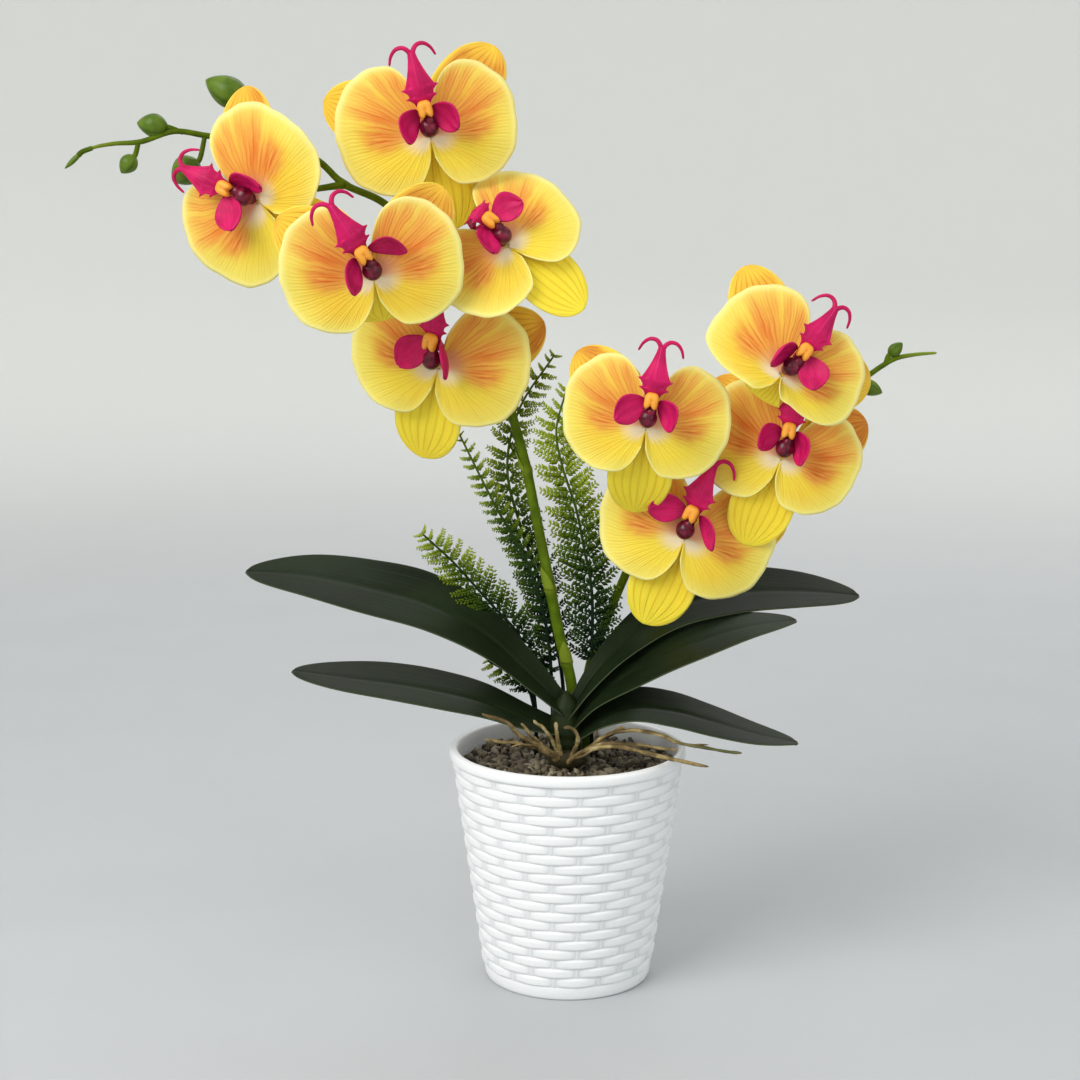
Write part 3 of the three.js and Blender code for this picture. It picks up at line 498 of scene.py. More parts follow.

# %% [markdown]
# ## Filler and grit
# A block of filler holds the stems. It is never seen, so the plain CAD solid stays and only gets its
# dull brown finish. On it lies a bed of crushed stone: a bumpy bed in the darkest stone colours, painted
# shade for the gaps between the stones, and on the bed several hundred small stones. Each stone is
# the same little ball of a few dozen faces, squashed, turned and given its own tone by seeded random
# numbers, all in one array.
# %% Filler finish
foam = Finish("filler_foam", Specular_IOR_Level=0.2)
pores = foam.noise(420, 3)
filler_brown = foam.paint(foam.mix(pores, "#4c3d2c", "#8a7557"), pores * 0.1 + 0.85, pores, 0.4)
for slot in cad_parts["filler"].material_slots:
    slot.material = filler_brown

# %% Grit
BED_RADIUS, BED_FOOT, STONES = 53.6, 99, 720

stone = Finish("grit_stone", Specular_IOR_Level=0.35)
tone_and_bed_shade = stone.mark()
patches = stone.noise(260, 4)
# Each stone's tone is its own colour; on the bed the same mark is painted shade.
stone_colour = stone.ramp(tone_and_bed_shade + (patches - 0.5) * 0.35, (0.0, "#2c261d"), (0.3, "#574d3d"),
                          (0.55, "#7b705a"), (0.8, "#9d927a"), (1.0, "#ddd3ae"))
grit_stone = stone.paint(stone_colour, patches * 0.2 + 0.62, patches, 0.35)


def turns(random, count):
    """Random turning matrices (count, 3, 3), from the QR split of random numbers."""
    return np.linalg.qr(random.normal(size=(count, 3, 3)))[0]


def make_grit():
    """The bed lies 2.2 under the grit's top + small waves. A sunflower spiral spreads the stones."""
    random = np.random.default_rng(5)
    r = np.linspace(0, 1, 24)[:, None] ** 0.7 * BED_RADIUS
    a = circle(96)[None]
    x, y = r * np.cos(a), r * np.sin(a)
    z = GRIT_TOP - 2.2 + 0.7 * np.sin(0.9 * x) * np.cos(0.8 * y + 1) + 0 * x
    top = np.stack([x, y, z], -1)[:0:-1]
    foot = np.stack([x[-1], y[-1], 0 * x[-1] + BED_FOOT], -1)[None]
    # The bed's low mark gives it the darkest stone colours: painted shade in the gaps between the stones.
    bed = shell(np.concatenate([foot, top]), [0, 0, BED_FOOT], [0, 0, z[0, 0]], mark=np.full(24, 0.12))

    count = STONES
    k = np.arange(count) + 0.5
    ring = 53.4 * np.sqrt(k / count)
    spin = k * np.pi * (3 - math.sqrt(5)) + random.normal(0, 0.02, count)
    size = random.uniform(1.5, 2.9, count)
    ring = np.minimum(ring, 54.0 - size)
    height = GRIT_TOP - 1.3 + random.uniform(-1.2, 0.9, count)
    centre = np.stack([ring * np.sin(spin), -ring * np.cos(spin), height], -1)
    ball = turned([(0, -1), (0.6, -0.8), (1, -0.1), (0.85, 0.6), (0, 1)], 7)
    lumps = 1 + 0.22 * random.normal(size=(count, len(ball.points), 1)).clip(-1.4, 1.4)
    stretch = random.uniform([0.9, 0.6, 0.5], [1.45, 1.0, 0.85], (count, 3)) * size[:, None]
    shapes = (ball.points[None] * lumps * stretch[:, None]) @ turns(random, count)
    points = shapes + centre[:, None]
    offset = (np.arange(count) * len(ball.points))[:, None, None]
    tone = random.beta(1.6, 2.0, count) * 0.9
    front_left = (centre[:, 1] < -34) & (centre[:, 0] < 20)
    tone = np.where(front_left & (random.random(count) < 0.35), 0.97, tone)
    stones = Skin(points, (ball.quads + offset).reshape(-1, 4), ball.triangles + offset,
                  np.tile(ball.chart, (count, 1)), np.repeat(tone, len(ball.points)))
    return [bed, stones]


build("gravel_bed", make_grit(), [grit_stone], ["grit"])

# %% [markdown]
# ## Leaves and crown
# A moth orchid has a few thick strap leaves that come out of a short crown in two ranks. Each leaf is
# a sheet about a curved middle line: its width grows, stays broad and closes in a round tip, it is
# folded along the middle near the base, and its edge is a thin paler line of painted highlight.
# %% Leaf finish
leaf = Finish("leaf_green", Specular_IOR_Level=0.06)
across, along = leaf.map()
veins = leaf.drawn(3, across * 34, along * 1.5)
cloud = leaf.noise(22, 3)
back = leaf.mark().between(0.4, 0.6)
# The thin paler line along the leaf's edge is a painted highlight.
edge = abs(across - 0.5).between(0.485, 0.5)
leaf_face = leaf.layers("#121b0d", (cloud.between(0.3, 0.7), "#1c2714"),
                        (veins.between(0.45, 0.75) * 0.5, "#232f1a"),
                        (back, leaf.mix(cloud, "#20261a", "#2b3124")), (edge * 0.7, "#4e583e"))
leaf_green = leaf.paint(leaf_face, veins * 0.14 + cloud * 0.14 + 0.3, veins + cloud * 0.4, 0.14)

# %% Leaves
LEAVES = {
    "upper_left": ([[-2, -6, 143], [-20, -6, 161], [-42, -3, 180], [-71, 3, 194], [-101, 7, 201],
                    [-132, 10, 206], [-163, 12, 207]], 25, [42, 17, 11], 4),
    "lower_left": ([[-4, -8, 131], [-20, -9, 137], [-42, -9, 146], [-66, -11, 152], [-89, -13, 156],
                    [-113, -15, 159], [-137, -16, 162]], 21.5, [24, 13, 4], 3),
    "upper_right": ([[0, -6, 139], [12, -3, 157], [30, 7, 175], [57, 20, 190], [88, 27, 195],
                     [118, 31, 194.5], [150, 34, 191]], 21, [38, 16, 14], 4),
    "mid_right": ([[2, -9, 134], [14, -9, 149], [30, -8, 160], [50, -8, 171], [69, -8, 178],
                   [90, -9, 184], [113, -10, 187]], 20, [36, 10, 2], 3),
    "low_right": ([[3, -11, 128], [17, -13, 139], [33, -15, 145], [52, -18, 144], [72, -21, 139],
                   [93, -24, 133], [113, -27, 129]], 19.5, [30, 8, -2], 3),
}


def make_leaf(line, half, tilt, channel):
    """The middle line + side x width, leaning by the tilt, sunk by a channel that fades out.

    Width is a quarter sine wave up to two thirds of the length, then an oval tip.
    """
    v, u = lattice(90, 33)
    share = 1 - (1 - v) ** 1.35
    side = np.sin((u - 0.5) * np.pi) * 0.35 + (2 * u - 1) * 0.65
    fine = smooth_line(line, 400)
    p = blend(share, np.linspace(0, 1, 400), fine)
    leans = smooth_line(list(enumerate(tilt)), 60)[:, 1:]
    lean = np.radians(blend(share, np.linspace(0, 1, 60), leans)[..., 0])
    widest = 0.66
    grown = 0.3 + 0.7 * np.sin(np.pi / 2 * np.minimum(share / widest, 1))
    tip = np.sqrt(np.clip(1 - np.clip((share - widest) / (1 - widest), 0, 1) ** 2.3, 0.002, 1))
    reach = side * half * grown * tip
    dip = channel * (1 - np.abs(side) ** 1.5) * (1.15 - share)
    dip = dip + 0.9 * np.exp(-(side / 0.09) ** 2) * (1 - 0.75 * share)
    wave = 0.5 * np.sin(7 * share + half) * side**2
    p[..., 1] += reach * np.cos(lean) + dip * np.sin(lean)
    p[..., 2] += reach * np.sin(lean) - dip * np.cos(lean) + wave
    if line[-1][0] > line[0][0]:  # keeps the upper side in front
        p = p[:, ::-1]
    return sheet(p, 1.7 * (1 - 0.62 * np.abs(side) ** 3))


for leaf_name, leaf_plan in LEAVES.items():
    build(f"strap_{leaf_name}", [make_leaf(*leaf_plan)], [leaf_green], [f"leaf_{leaf_name}"])

# %% Crown
CROWN_AT, CROWN_RADIUS, CROWN_FOOT, CROWN_TALL = (-1, -4), 8.6, 100, 49
sheath = Finish("crown_sheath", Specular_IOR_Level=0.1)
streaks = sheath.noise(160, 3)
crown_green = sheath.paint(sheath.mix(streaks, "#131c0e", "#2a3519"), streaks * 0.2 + 0.35, streaks, 0.3)


def make_crown():
    """A stout turned stem, its radius rippled where the leaf bases wrap one another."""
    t = np.linspace(0, 1, 40)[:, None]
    a = circle(72)[None]
    r = CROWN_RADIUS * blend(t[:, 0], [0, 0.4, 0.65, 0.86, 1], [[0.75], [1], [0.95], [0.7], [0.16]])
    r = r * (1 + 0.05 * np.sin(2 * a + 9 * t) * np.sin(np.pi * t)) + 0.35 * np.sin(18 * np.pi * t) * (t < 0.6)
    x, y = CROWN_AT
    rings = np.stack([x + r * np.cos(a), y + r * np.sin(a), CROWN_FOOT + CROWN_TALL * t + 0 * a], -1)
    return shell(rings, [x, y, CROWN_FOOT], [x, y, CROWN_FOOT + CROWN_TALL])


build("leaf_crown", [make_crown()], [crown_green], ["crown"])

# %% [markdown]
# ## Wandering roots
# Thick pale roots come out of the crown's foot and wander over the grit and the rim. A root is a
# tube whose radius and path waver a little; it is a little flat, and tapers to a blunt tip.
# %% Roots
root_bark = Finish("root_bark", Specular_IOR_Level=0.15)
fibres = root_bark.noise(150, 4)
dusty = root_bark.noise(36, 2)
root_tone = root_bark.ramp(fibres + (dusty - 0.5) * 0.7, (0.22, "#332817"), (0.43, "#695839"),
                           (0.6, "#978559"), (0.82, "#d2c5a0"))
root_mark = root_bark.mark()  # up to 1 where a root is green, 3 on the knot
root_tone = root_bark.layers(root_tone, (root_mark.between(0, 1) * 0.75, "#4b5532"),
                             (root_mark.between(1.5, 2.5) * 0.9, "#2f2a1b"))
root_ochre = root_bark.paint(root_tone, fibres * 0.2 + 0.55, fibres + dusty * 0.4, 0.3)
ROOTS = [
    ([[-4, -17, 117], [-7, -20, 121], [-14, -23, 126], [-22, -27, 131], [-30, -32, 140],
      [-42, -38, 146]], 1.6, 1),
    ([[-5, -17, 116], [-11, -22, 122], [-19, -28, 127], [-28, -36, 131], [-40, -43, 134]], 1.4, 0.9),
    ([[-5, -17, 118], [-12, -21, 125], [-19, -26, 133], [-23, -28, 139]], 1.5, 0.9),
    ([[-4, -17, 118], [-7, -19, 126], [-10, -21, 132], [-17, -23, 139]], 1.4, 0.9),
    ([[-3, -17, 118], [-5, -20, 128], [-6, -21, 137]], 1.3, 0.9),
    ([[1, -17, 117], [3, -20, 122], [5, -23, 129], [3, -26, 135], [-2, -30, 137]], 1.5, 0.9),
    ([[0, -17, 115], [2, -23, 119], [7, -28, 124], [15, -30, 127], [25, -33, 128], [39, -40, 127],
      [51, -46, 125.5], [68, -54, 124.5]], 1.6, 1),
    ([[3, -17, 117], [9, -20, 123], [19, -23, 127], [35, -29, 128], [54, -37, 127.5]], 1.5, 0.9),
    ([[5, -16, 118], [14, -18, 126], [22, -22, 132], [28, -28, 137]], 1.4, 0.9),
    ([[5, -16, 117], [18, -21, 130], [30, -27, 135], [46, -32, 134], [55, -35, 131], [67, -38, 129],
      [85, -42, 128]], 1.3, 0.9),
]
ROOT_KNOT = ((0, -15, 116.6), (10, 4.5, 4.7))
GREEN_ROOT = 9


def make_rootlet(number, points, thick, thin):
    """A thinner root beside another one: the same line, pushed about and cut short."""
    random = np.random.default_rng(40 + number)
    line = np.array(points[:-1], float)
    line[1:] += random.normal(0, [0.8, 1.3, 1.0], line[1:].shape)
    return make_root(number + 20, line, thick * 0.6, thin * 0.6)


def make_root(number, points, thick, thin, steps=70):
    """A tube with a wavering radius: taper x (1 + slow sine + quick sine), with small side steps."""
    t = np.linspace(0, 1, steps)
    path = smooth_line(points, steps)
    path[:, 2] += 0.35 * np.sin(19 * t + 2 * number) * t
    path[:, 1] += 0.3 * np.sin(23 * t + number) * t
    radius = thick + (thin - thick) * t
    radius = radius * (1 + 0.1 * np.sin(31 * t + number) + 0.06 * np.sin(77 * t + 3 * number))
    green = np.clip(t * 1.6 - 0.5, 0, 1) * (number == GREEN_ROOT)
    return tube(path, radius * rounded(steps, 0.05), 12, green, flatten=0.78)


def make_ball(centre, radii, rows=14, columns=24, mark=0.0):
    """An egg-shaped ball from sines and cosines of two angles."""
    t = np.linspace(0, np.pi, rows)
    skin = turned(np.stack([np.sin(t), -np.cos(t)], 1), columns)
    skin.mark[:] = mark
    skin.points = skin.points * np.array(radii) + np.array(centre)
    return skin


root_skins = [make_root(k, *plan) for k, plan in enumerate(ROOTS)] + [make_ball(*ROOT_KNOT, mark=3.0)]
root_skins += [make_rootlet(k, *plan) for k, plan in enumerate(ROOTS) if len(plan[0]) > 4]
build("wandering_roots", root_skins, [root_ochre], ["aerial_roots"])

# %% [markdown]
# ## Blooms: where each one hangs
# A bloom has its own frame: X to its right, Y towards the tip of its lip, Z out of its face. One
# function turns a point of that frame into the plant's. Each bloom faces its own way, and its petals
# are opened, folded back and sized a little differently, as the hand that bent them left them.
# %% Bloom places
# Place, facing, size, glow of the print, petals (opened, fold, size, tuck), sepals (opened, length,
# bend), the lip's facing, side lobes (x, y, steepness, bulge) and the curl of the lip's tip.
BLOOM_PARTS = ("at", "face", "size", "glow", "petals", "sepals", "lip", "lobes", "curl")
BLOOMS = {
    "a1": ((-149, -10, 392.5), (-22, -11, -58), 1.01, 0.2, [(-1, -6, 1.11), (1, -6, 1.1)],
           [(0, 1, 8), (0, 1, 8), (-10, 1.08, 8)], (-24, 6, -68), [(-15.5, -1, 5, 0), (8.5, -7, 60, 1.5)]),
    "a2": ((-66.5, -8, 423.5), (3, -2, -13), 1.03, 0.1, [(2, -1, 1.07), (9, 1, 1.01)],
           [(-1, 0.92, 8), (-1, 1.07, 8), (-8, 1.04, 8)],
           (7, -4, -14), [(-11, 0, 42, 2.5), (12.6, 1.4, 36, 1)]),
    "a3": ((-91.5, -42, 358), (5, -10, -10), 1.05, 0.24, [(3, -5, 1.02), (2, -6, 1.01)],
           [(0, 0.5, 22), (6, 1, 8), (-7, 1, 8)], (17, -3, -34), [(-13.5, 1.5, 44, 0.8), (16.5, 4, 54, 2.5)]),
    "a4": ((-30, -18, 371), (5, 28, -53), 0.98, 0.03, [(-4, 1, 0.98), (9, 2, 1.07)],
           [(-2, 0.95, 8), (0, 1, 10), (0, 1, 10)],
           (15, 26, -48), [(-14.5, 1.5, 30, 0.5), (17, 6.5, 8, 1.5)], 95),
    "a5": ((-64, 2, 312), (-15, -8, 13), 1.1, 0.14, [(-4, -3, 1.04), (3, 1, 1.01)],
           [(5, 1, 8), (0, 1, 8), (-2, 1, 8)], (-26, -3, 14), [(-12, -1, 8, 1), (12, 0, 62, 0.5)]),
    "b1": ((37.3, -32, 286.5), (-1, -4, 9), 0.99, 0.08, [(-6, 6, 1.02), (3, 0, 0.99)],
           [(-3, 0.98, 18), (4, 0.97, 12), (0, 0.85, 3)], (-3, 3, 11), [(-15, 1, 20, 0.5), (12, 1, 46, 2.5)]),
    "b2": ((101, -38, 311.5), (5, 0, 35), 0.98, 0.12, [(5, 5, 1.06, 0.42), (-7, -5, 0.95, 0.5)],
           [(0, 0.3, 20), (7, 1.1, 12), (4, 0.96, 8)],
           (11, 10, 38), [(-10, -2.5, 58, 1.5), (14, 0.5, 15, 1)]),
    "b3": ((104, -16, 269.5), (-3, -1, 16), 0.99, 0.3, [(-3, 5, 1.05), (12, 0, 0.93)],
           [(4, 1, 4), (0, 1, 12), (-4, 0.92, 10)], (-3, 8, 12), [(-12.5, 2, 38, 1.5), (9, -2, 56, 2)]),
    "b4": ((58.3, -2, 227.5), (-5, 1, 21), 1.05, 0.06, [(-10, 0, 1.04), (2, 3, 1.02)],
           [(3, 0.98, 2), (0, 1, 8), (0, 1, 8)], (-17, 6, 24), [(-18.5, 6, 22, 1), (17, 3, 50, 1.5)]),
}
BLOOMS = {name: dict(zip(BLOOM_PARTS, row)) for name, row in BLOOMS.items()}
PETAL_OUTLINE = [(-80, 10), (-72, 17.2), (-67, 23.3), (-53, 28.6), (-37, 33.9), (-20, 38.3), (-3, 40),
                 (16, 41.6), (33, 42.7), (47, 41), (61, 38.4), (72, 33.5), (77, 28.7), (84, 16)]


def turn(axis, degrees):
    """The matrix that turns about one axis."""
    c, s = math.cos(math.radians(degrees)), math.sin(math.radians(degrees))
    matrix = np.eye(3)
    i, j = [(1, 2), (2, 0), (0, 1)][axis]
    matrix[i, i], matrix[i, j], matrix[j, i], matrix[j, j] = c, -s, s, c
    return matrix


def set_bloom(local, bloom, facing):
    """Scale, roll, pitch and yaw in the bloom's frame, lay its Z to the front, and move it."""
    yaw, pitch, roll = bloom[facing]
    matrix = turn(0, 90) @ turn(1, yaw) @ turn(0, -pitch) @ turn(2, -roll)
    return bloom["size"] * local @ matrix.T + np.array(bloom["at"])


def set_skins(skins, bloom, facing):
    """Sets each skin of a bloom in the plant."""
    for skin in skins:
        skin.points = set_bloom(skin.points, bloom, facing)
    return skins


# %% [markdown]
# ## Petals and sepals
# Two broad petals fan out from the centre; behind them stand three sepals like broad tongues. The
# cloth-thin surface is printed: lemon yellow with an orange blush, fine veins that fork as they
# spread, and a pinkish-white throat; a pale line round the rim is a painted highlight. The map
# (around, outward) carries the print, so the veins always run out from the centre.
# %% Petal print
def rays(finish, around, count, width):
    """Thin lines at even angles: 1 on each of count lines in the map's unit."""
    wave = finish.node("ShaderNodeMath", {"operation": "COSINE"}, {0: around * (2 * math.pi * count)})
    return wave.between(1 - width, 1)


def print_petal():
    """Lemon, peach above, a heart of red-orange streaks, a pale throat, veins that double, and a pale rim
    line of painted highlight.
    """
    finish = Finish("petal_print", Specular_IOR_Level=0.1, Subsurface_Weight=0.05, Subsurface_Scale=0.002)
    around, outward = finish.map()
    mark = finish.mark()
    back = mark.between(0.6, 0.7)
    glow = mark - back
    drift = finish.noise(55, 2)
    wander = around + (drift - 0.5) * 0.05 + (finish.noise(330, 2) - 0.5) * 0.008
    streak = finish.drawn(2, wander * 16, outward * 1.1, 2.0)
    dash = finish.drawn(2, wander * 46, outward * 2.2, 7.0).between(0.5, 0.64)
    patch = finish.noise(17, 2)
    speck = finish.noise(800, 3)
    rim = outward.between(1.02, 0.8)
    vein = rays(finish, wander, 15, 0.2) * 0.9
    vein = vein + rays(finish, wander + 0.0333, 15, 0.3) * outward.between(0.25, 0.5) * 0.75
    vein = vein + rays(finish, wander + 0.0167, 30, 0.45) * outward.between(0.5, 0.72) * 0.6
    vein = vein * rim * outward.between(0.1, 0.3) * (streak * 1.6 + 0.2)
    heart = wander.hill(0.55, 0.22) * outward.hill(0.46, 0.38)
    upper = wander.between(0.44, 0.74) * outward.between(1.15, 0.68)
    warm = (upper * 0.65 + heart) * (streak * 2.2 - 0.15 + glow)
    gold = (patch - 0.5) * 2.2 + streak * 0.6 - 0.3 + glow * 0.6
    tinted = finish.mix(warm.between(0.1, 0.7), "#dca02c", "#c0521e")
    pink = finish.mix(around.between(0.38, 0.62), "#f2e0c4", "#e0967c")
    colour = finish.layers(
        "#efd648",
        (outward.between(0.55, 0.95) * 0.7, "#ece072"),
        (gold * outward.between(1.0, 0.6), "#efba3c"),
        (warm.between(0.0, 0.85) * 0.9, "#eaa04a"),
        (warm.between(0.7, 1.6) * 0.9, "#df702c"),
        (dash * (heart + upper * 0.2) * 0.6, "#cf5420"),
        (vein * (warm * 0.14 + 0.2), tinted),
        (outward.between(0.36, 0.1) * 0.85, pink),
        # A pale line round the rim: a painted highlight.
        (outward.between(0.9, 1.0) * 0.65, "#f6eea4"),
        (back * 0.45, "#ecda6c"))
    return finish.paint(colour, speck * 0.15 + 0.55, vein * -0.5 + streak * 0.8 + speck * 0.12, 0.25)


petal_print = print_petal()


def print_sepal():
    """Yellow with lengthwise stripes; the mark is 2 or 3 on the upper sepals, which are orange."""
    finish = Finish("sepal_print", Specular_IOR_Level=0.1, Subsurface_Weight=0.05, Subsurface_Scale=0.002)
    across, along = finish.map()
    mark = finish.mark()
    drift = finish.noise(60, 2)
    bend = (along - 0.35) * (along - 0.35) * 1.3
    spread = (across - 0.5) * (bend + 0.85) + (drift - 0.5) * 0.025
    fine = finish.drawn(2, across * 60, along * 2)
    stripe = rays(finish, spread, 9, 0.6) * along.between(1.0, 0.6) * (fine * 1.4 + 0.2)
    patch = finish.noise(26, 2)
    orange = mark.between(1.5, 1.6)
    blush = orange * along.between(0.1, 0.5) * (patch * 1.3 + 0.3)
    stain = orange * patch.between(0.4, 0.6) * fine.between(0.25, 0.55) * along.between(0.35, 0.7)
    back = (mark - orange * 2).between(0.4, 0.6)
    colour = finish.layers(
        "#fade38",
        (along * 0.6 + patch * 0.4, "#fff04e"),
        ((patch - 0.4) * 1.2, "#f6c534"),
        (blush * 0.62, "#e89c44"),
        (stain * 0.8, "#c86a2c"),
        (stripe * 0.4, finish.mix(orange, "#dda428", "#b8561e")),
        # A pale line along the sepal's edges: a painted highlight.
        (abs(across - 0.5).between(0.4, 0.5) * 0.6, "#f9e85e"),
        (back * 0.35, "#e6d468"))
    return finish.paint(colour, fine * 0.15 + 0.52, fine * 0.7 + stripe * -0.6, 0.3)


sepal_print = print_sepal()

# %% Petal and sepal surfaces
def petal_outline(count=400, width=31):
    """The outline's points on a smooth line, evened by a running mean."""
    degrees, reach = smooth_line(PETAL_OUTLINE, count).T
    even = np.linspace(degrees[0], degrees[-1], count)
    padded = np.pad(np.interp(even, degrees, reach), width // 2, mode="reflect", reflect_type="odd")
    return even, np.convolve(padded, np.ones(width) / width, mode="valid")


outline_degrees, outline_reach = petal_outline()
PETAL_HEART = 0.03  # share of the reach where the petal starts
PETAL_REACH, SEPAL_LENGTH, SEPAL_HALF = 41, 49, 16
CUP = [[0, -5], [2.4, -5], [5, -1.4], [4.4, 1.1], [0, 1.1]]
CUP_PRINT = (0.2, 0.6)  # the spot of the petals' print that colours the cup


def make_petal(side, opened, fold, size, tuck=0.0, seed=0.0, glow=0.0):
    """Polar fan: reach(angle) outward, height 1.5 + 3v - 7(reach/41)^2, with a waved rim."""
    out, u = lattice(26, 84)
    share = PETAL_HEART + (1 - PETAL_HEART) * out
    v = np.clip((share - 0.12) / 0.88, 0, 1)
    degrees = outline_degrees[0] + np.ptp(outline_degrees) * u
    a = np.radians(degrees)
    low = np.clip((-8 - degrees) / 44, 0, 1)
    tucked = 1 - tuck * low**2 * (3 - 2 * low)
    reach = np.interp(degrees, outline_degrees, outline_reach) * size * tucked * share
    reach = reach * (1 + v**3 * (0.006 * np.sin(11 * a + seed) + 0.004 * np.sin(23 * a + 2 * seed)))
    z = 1.5 + 3 * v - 7 * (reach / PETAL_REACH) ** 2 + 0.6 * v**2 * np.sin(5 * a + side)
    z = z + 0.4 * v**3 * np.sin(9 * a + seed) + 0.16 * v * (1 - v) * np.sin(38 * a)
    z = z - np.exp(-((a - 0.2) / 0.05) ** 2) * v * (1 - v)
    middle = np.stack([side * reach * np.cos(a), reach * np.sin(a), z], -1)
    middle = middle @ turn(1, side * fold).T @ turn(2, -opened).T
    if side > 0:
        middle = middle[:, ::-1]
    skin = sheet(middle, 0.9 - 0.35 * v**4, glow)
    if side > 0:
        skin.chart = skin.chart * [-1, 1] + [1, 0]
    return skin


def make_sepal(angle, upper, opened, length, bend):
    """A tongue: its half width follows an egg's outline, and it falls back by the bend."""
    v, u = lattice(36, 27)
    along = 0.05 + 0.95 * (1 - (1 - v) ** 1.7)
    past = np.where(along < 0.56, (0.56 - along) / 0.62, (along - 0.56) / 0.44)
    reach = SEPAL_LENGTH * length * along
    half = np.minimum(0.8 * reach, SEPAL_HALF * np.sqrt(np.clip(1 - past**2, 0.0004, 1)))
    side = (2 * u - 1) * half
    z = -1.6 - along - 5 * along**2 - math.tan(math.radians(bend)) * reach * along + 0.004 * side**2
    z = z + 0.1 * np.cos(5 * np.pi * (2 * u - 1)) * np.sin(np.pi * v) + 0.4 * v**2 * np.sin(5 * v + 4 * u)
    middle = np.stack([side, reach, z], -1) @ turn(2, angle - opened).T
    return sheet(middle, 0.9 - 0.3 * np.abs(2 * u - 1) ** 3, 2.0 * upper, 1)


def make_tepals(number, bloom):
    """Two petals, three sepals and the small cup that holds them, set in the plant."""
    skins = [make_petal(side, *petal, seed=number + 2.1 * side, glow=bloom["glow"])
             for side, petal in zip((-1, 1), bloom["petals"])]
    skins += [make_sepal(angle, angle != 180, *sepal)
              for angle, sepal in zip((180, 58, -58), bloom["sepals"])]
    cup = blend(np.linspace(0, 1, 14), np.linspace(0, 1, len(CUP)), CUP)
    skins.append(turned(cup, 20))
    skins[-1].chart[:] = CUP_PRINT
    return set_skins(skins, bloom, "face")


for number, (name, bloom) in enumerate(BLOOMS.items()):
    build(f"petals_{name}", make_tepals(number, bloom), [petal_print, sepal_print],
          [f"bloom_{name}_tepals"])

# %% [markdown]
# ## The lip, column and callus
# The lip points up here: a barbed arrowhead that ends in two curled tendrils, with a rounded side
# lobe raised like a wing on either side. In front of the throat sits the column, dark and glossy,
# and between it and the lip the small orange callus with two prongs.
# %% Lip finish
crimson = Finish("lip_crimson", Specular_IOR_Level=0.18, Subsurface_Weight=0.05, Subsurface_Scale=0.003)
soft = crimson.noise(110, 3)
ribs = crimson.drawn(2, crimson.map()[0] * 22, crimson.map()[1] * 1.6)
# The mark darkens the lip towards the throat and all over the claw: painted shade.
throat_painted_shade = crimson.mark()
# The ribs' lighter pink is a painted highlight on the lip's ridges; the ribs also give the bumps.
lip_colour = crimson.layers("#cf165f", (soft.between(0.35, 0.7), "#b20e4f"),
                            (ribs.between(0.5, 0.75) * 0.4, "#dd4386"), (throat_painted_shade * 0.5, "#93093f"))
lip_crimson = crimson.paint(lip_colour, soft * 0.2 + 0.38, ribs + soft * 0.3, 0.2)

maroon = Finish("column_maroon", Specular_IOR_Level=0.35)
blot = maroon.noise(300, 3)
column_maroon = maroon.paint(maroon.mix(blot.between(0.35, 0.7), "#4a0418", "#7d1033"),
                             blot * 0.15 + 0.22, blot, 0.12)

saffron = Finish("callus_orange", Specular_IOR_Level=0.4)
wax = saffron.noise(260, 3)
# The mark darkens the groove between the prongs: painted shade.
crease = saffron.mark()
callus_orange = saffron.paint(saffron.layers("#ee9420", (wax, "#f6b040"), (crease, "#c65f14")),
                              wax * 0.15 + 0.4, wax, 0.08)

# %% Lip surfaces
MIDLOBE = [(12, 7.4, 2.6), (14.5, 8.8, 3.3), (16.6, 10.2, 4.2), (17.8, 11, 5.4), (18.8, 11.6, 7.3),
           (19.4, 11.9, 5.6), (21, 12.6, 6), (22.2, 13.1, 7.2), (23.2, 13.4, 8.7), (23.8, 13.5, 6.9),
           (26, 13.8, 5.8), (29, 13.8, 4.5), (32, 13.5, 3.4), (36, 12.7, 2.2), (39.2, 12, 1.6)]


def bend_back(points, degrees, from_y=20, from_z=12.4):
    """Whatever lies beyond the lip's widest place is turned backwards about it."""
    beyond = points[:, 1] > from_y
    pivot = np.array([0, from_y, from_z])
    turned_back = (points - pivot) @ turn(0, -degrees).T + pivot
    return np.where(beyond[:, None], turned_back, points)


def make_midlobe():
    """Arrowhead: half width and height are blended between stations; ridge and ribs along it."""
    v, u = lattice(57, 19)
    place, height, half = blend(v, np.linspace(0, 1, len(MIDLOBE)), MIDLOBE).transpose(2, 0, 1)
    side = 2 * u - 1
    z = height + 1.5 * (1 - np.abs(side) ** 1.3) + 0.12 * np.cos(14 * side) + 0.9 * np.abs(side) ** 6
    middle = np.stack([side * half, place, z], -1)
    skin = sheet(middle, 1.5 - 0.9 * np.abs(side) ** 3)
    # The mark darkens the lobe towards the throat: painted shade.
    skin.mark = np.clip((18 - skin.points[:, 1]) / 6, 0, 1)
    return skin


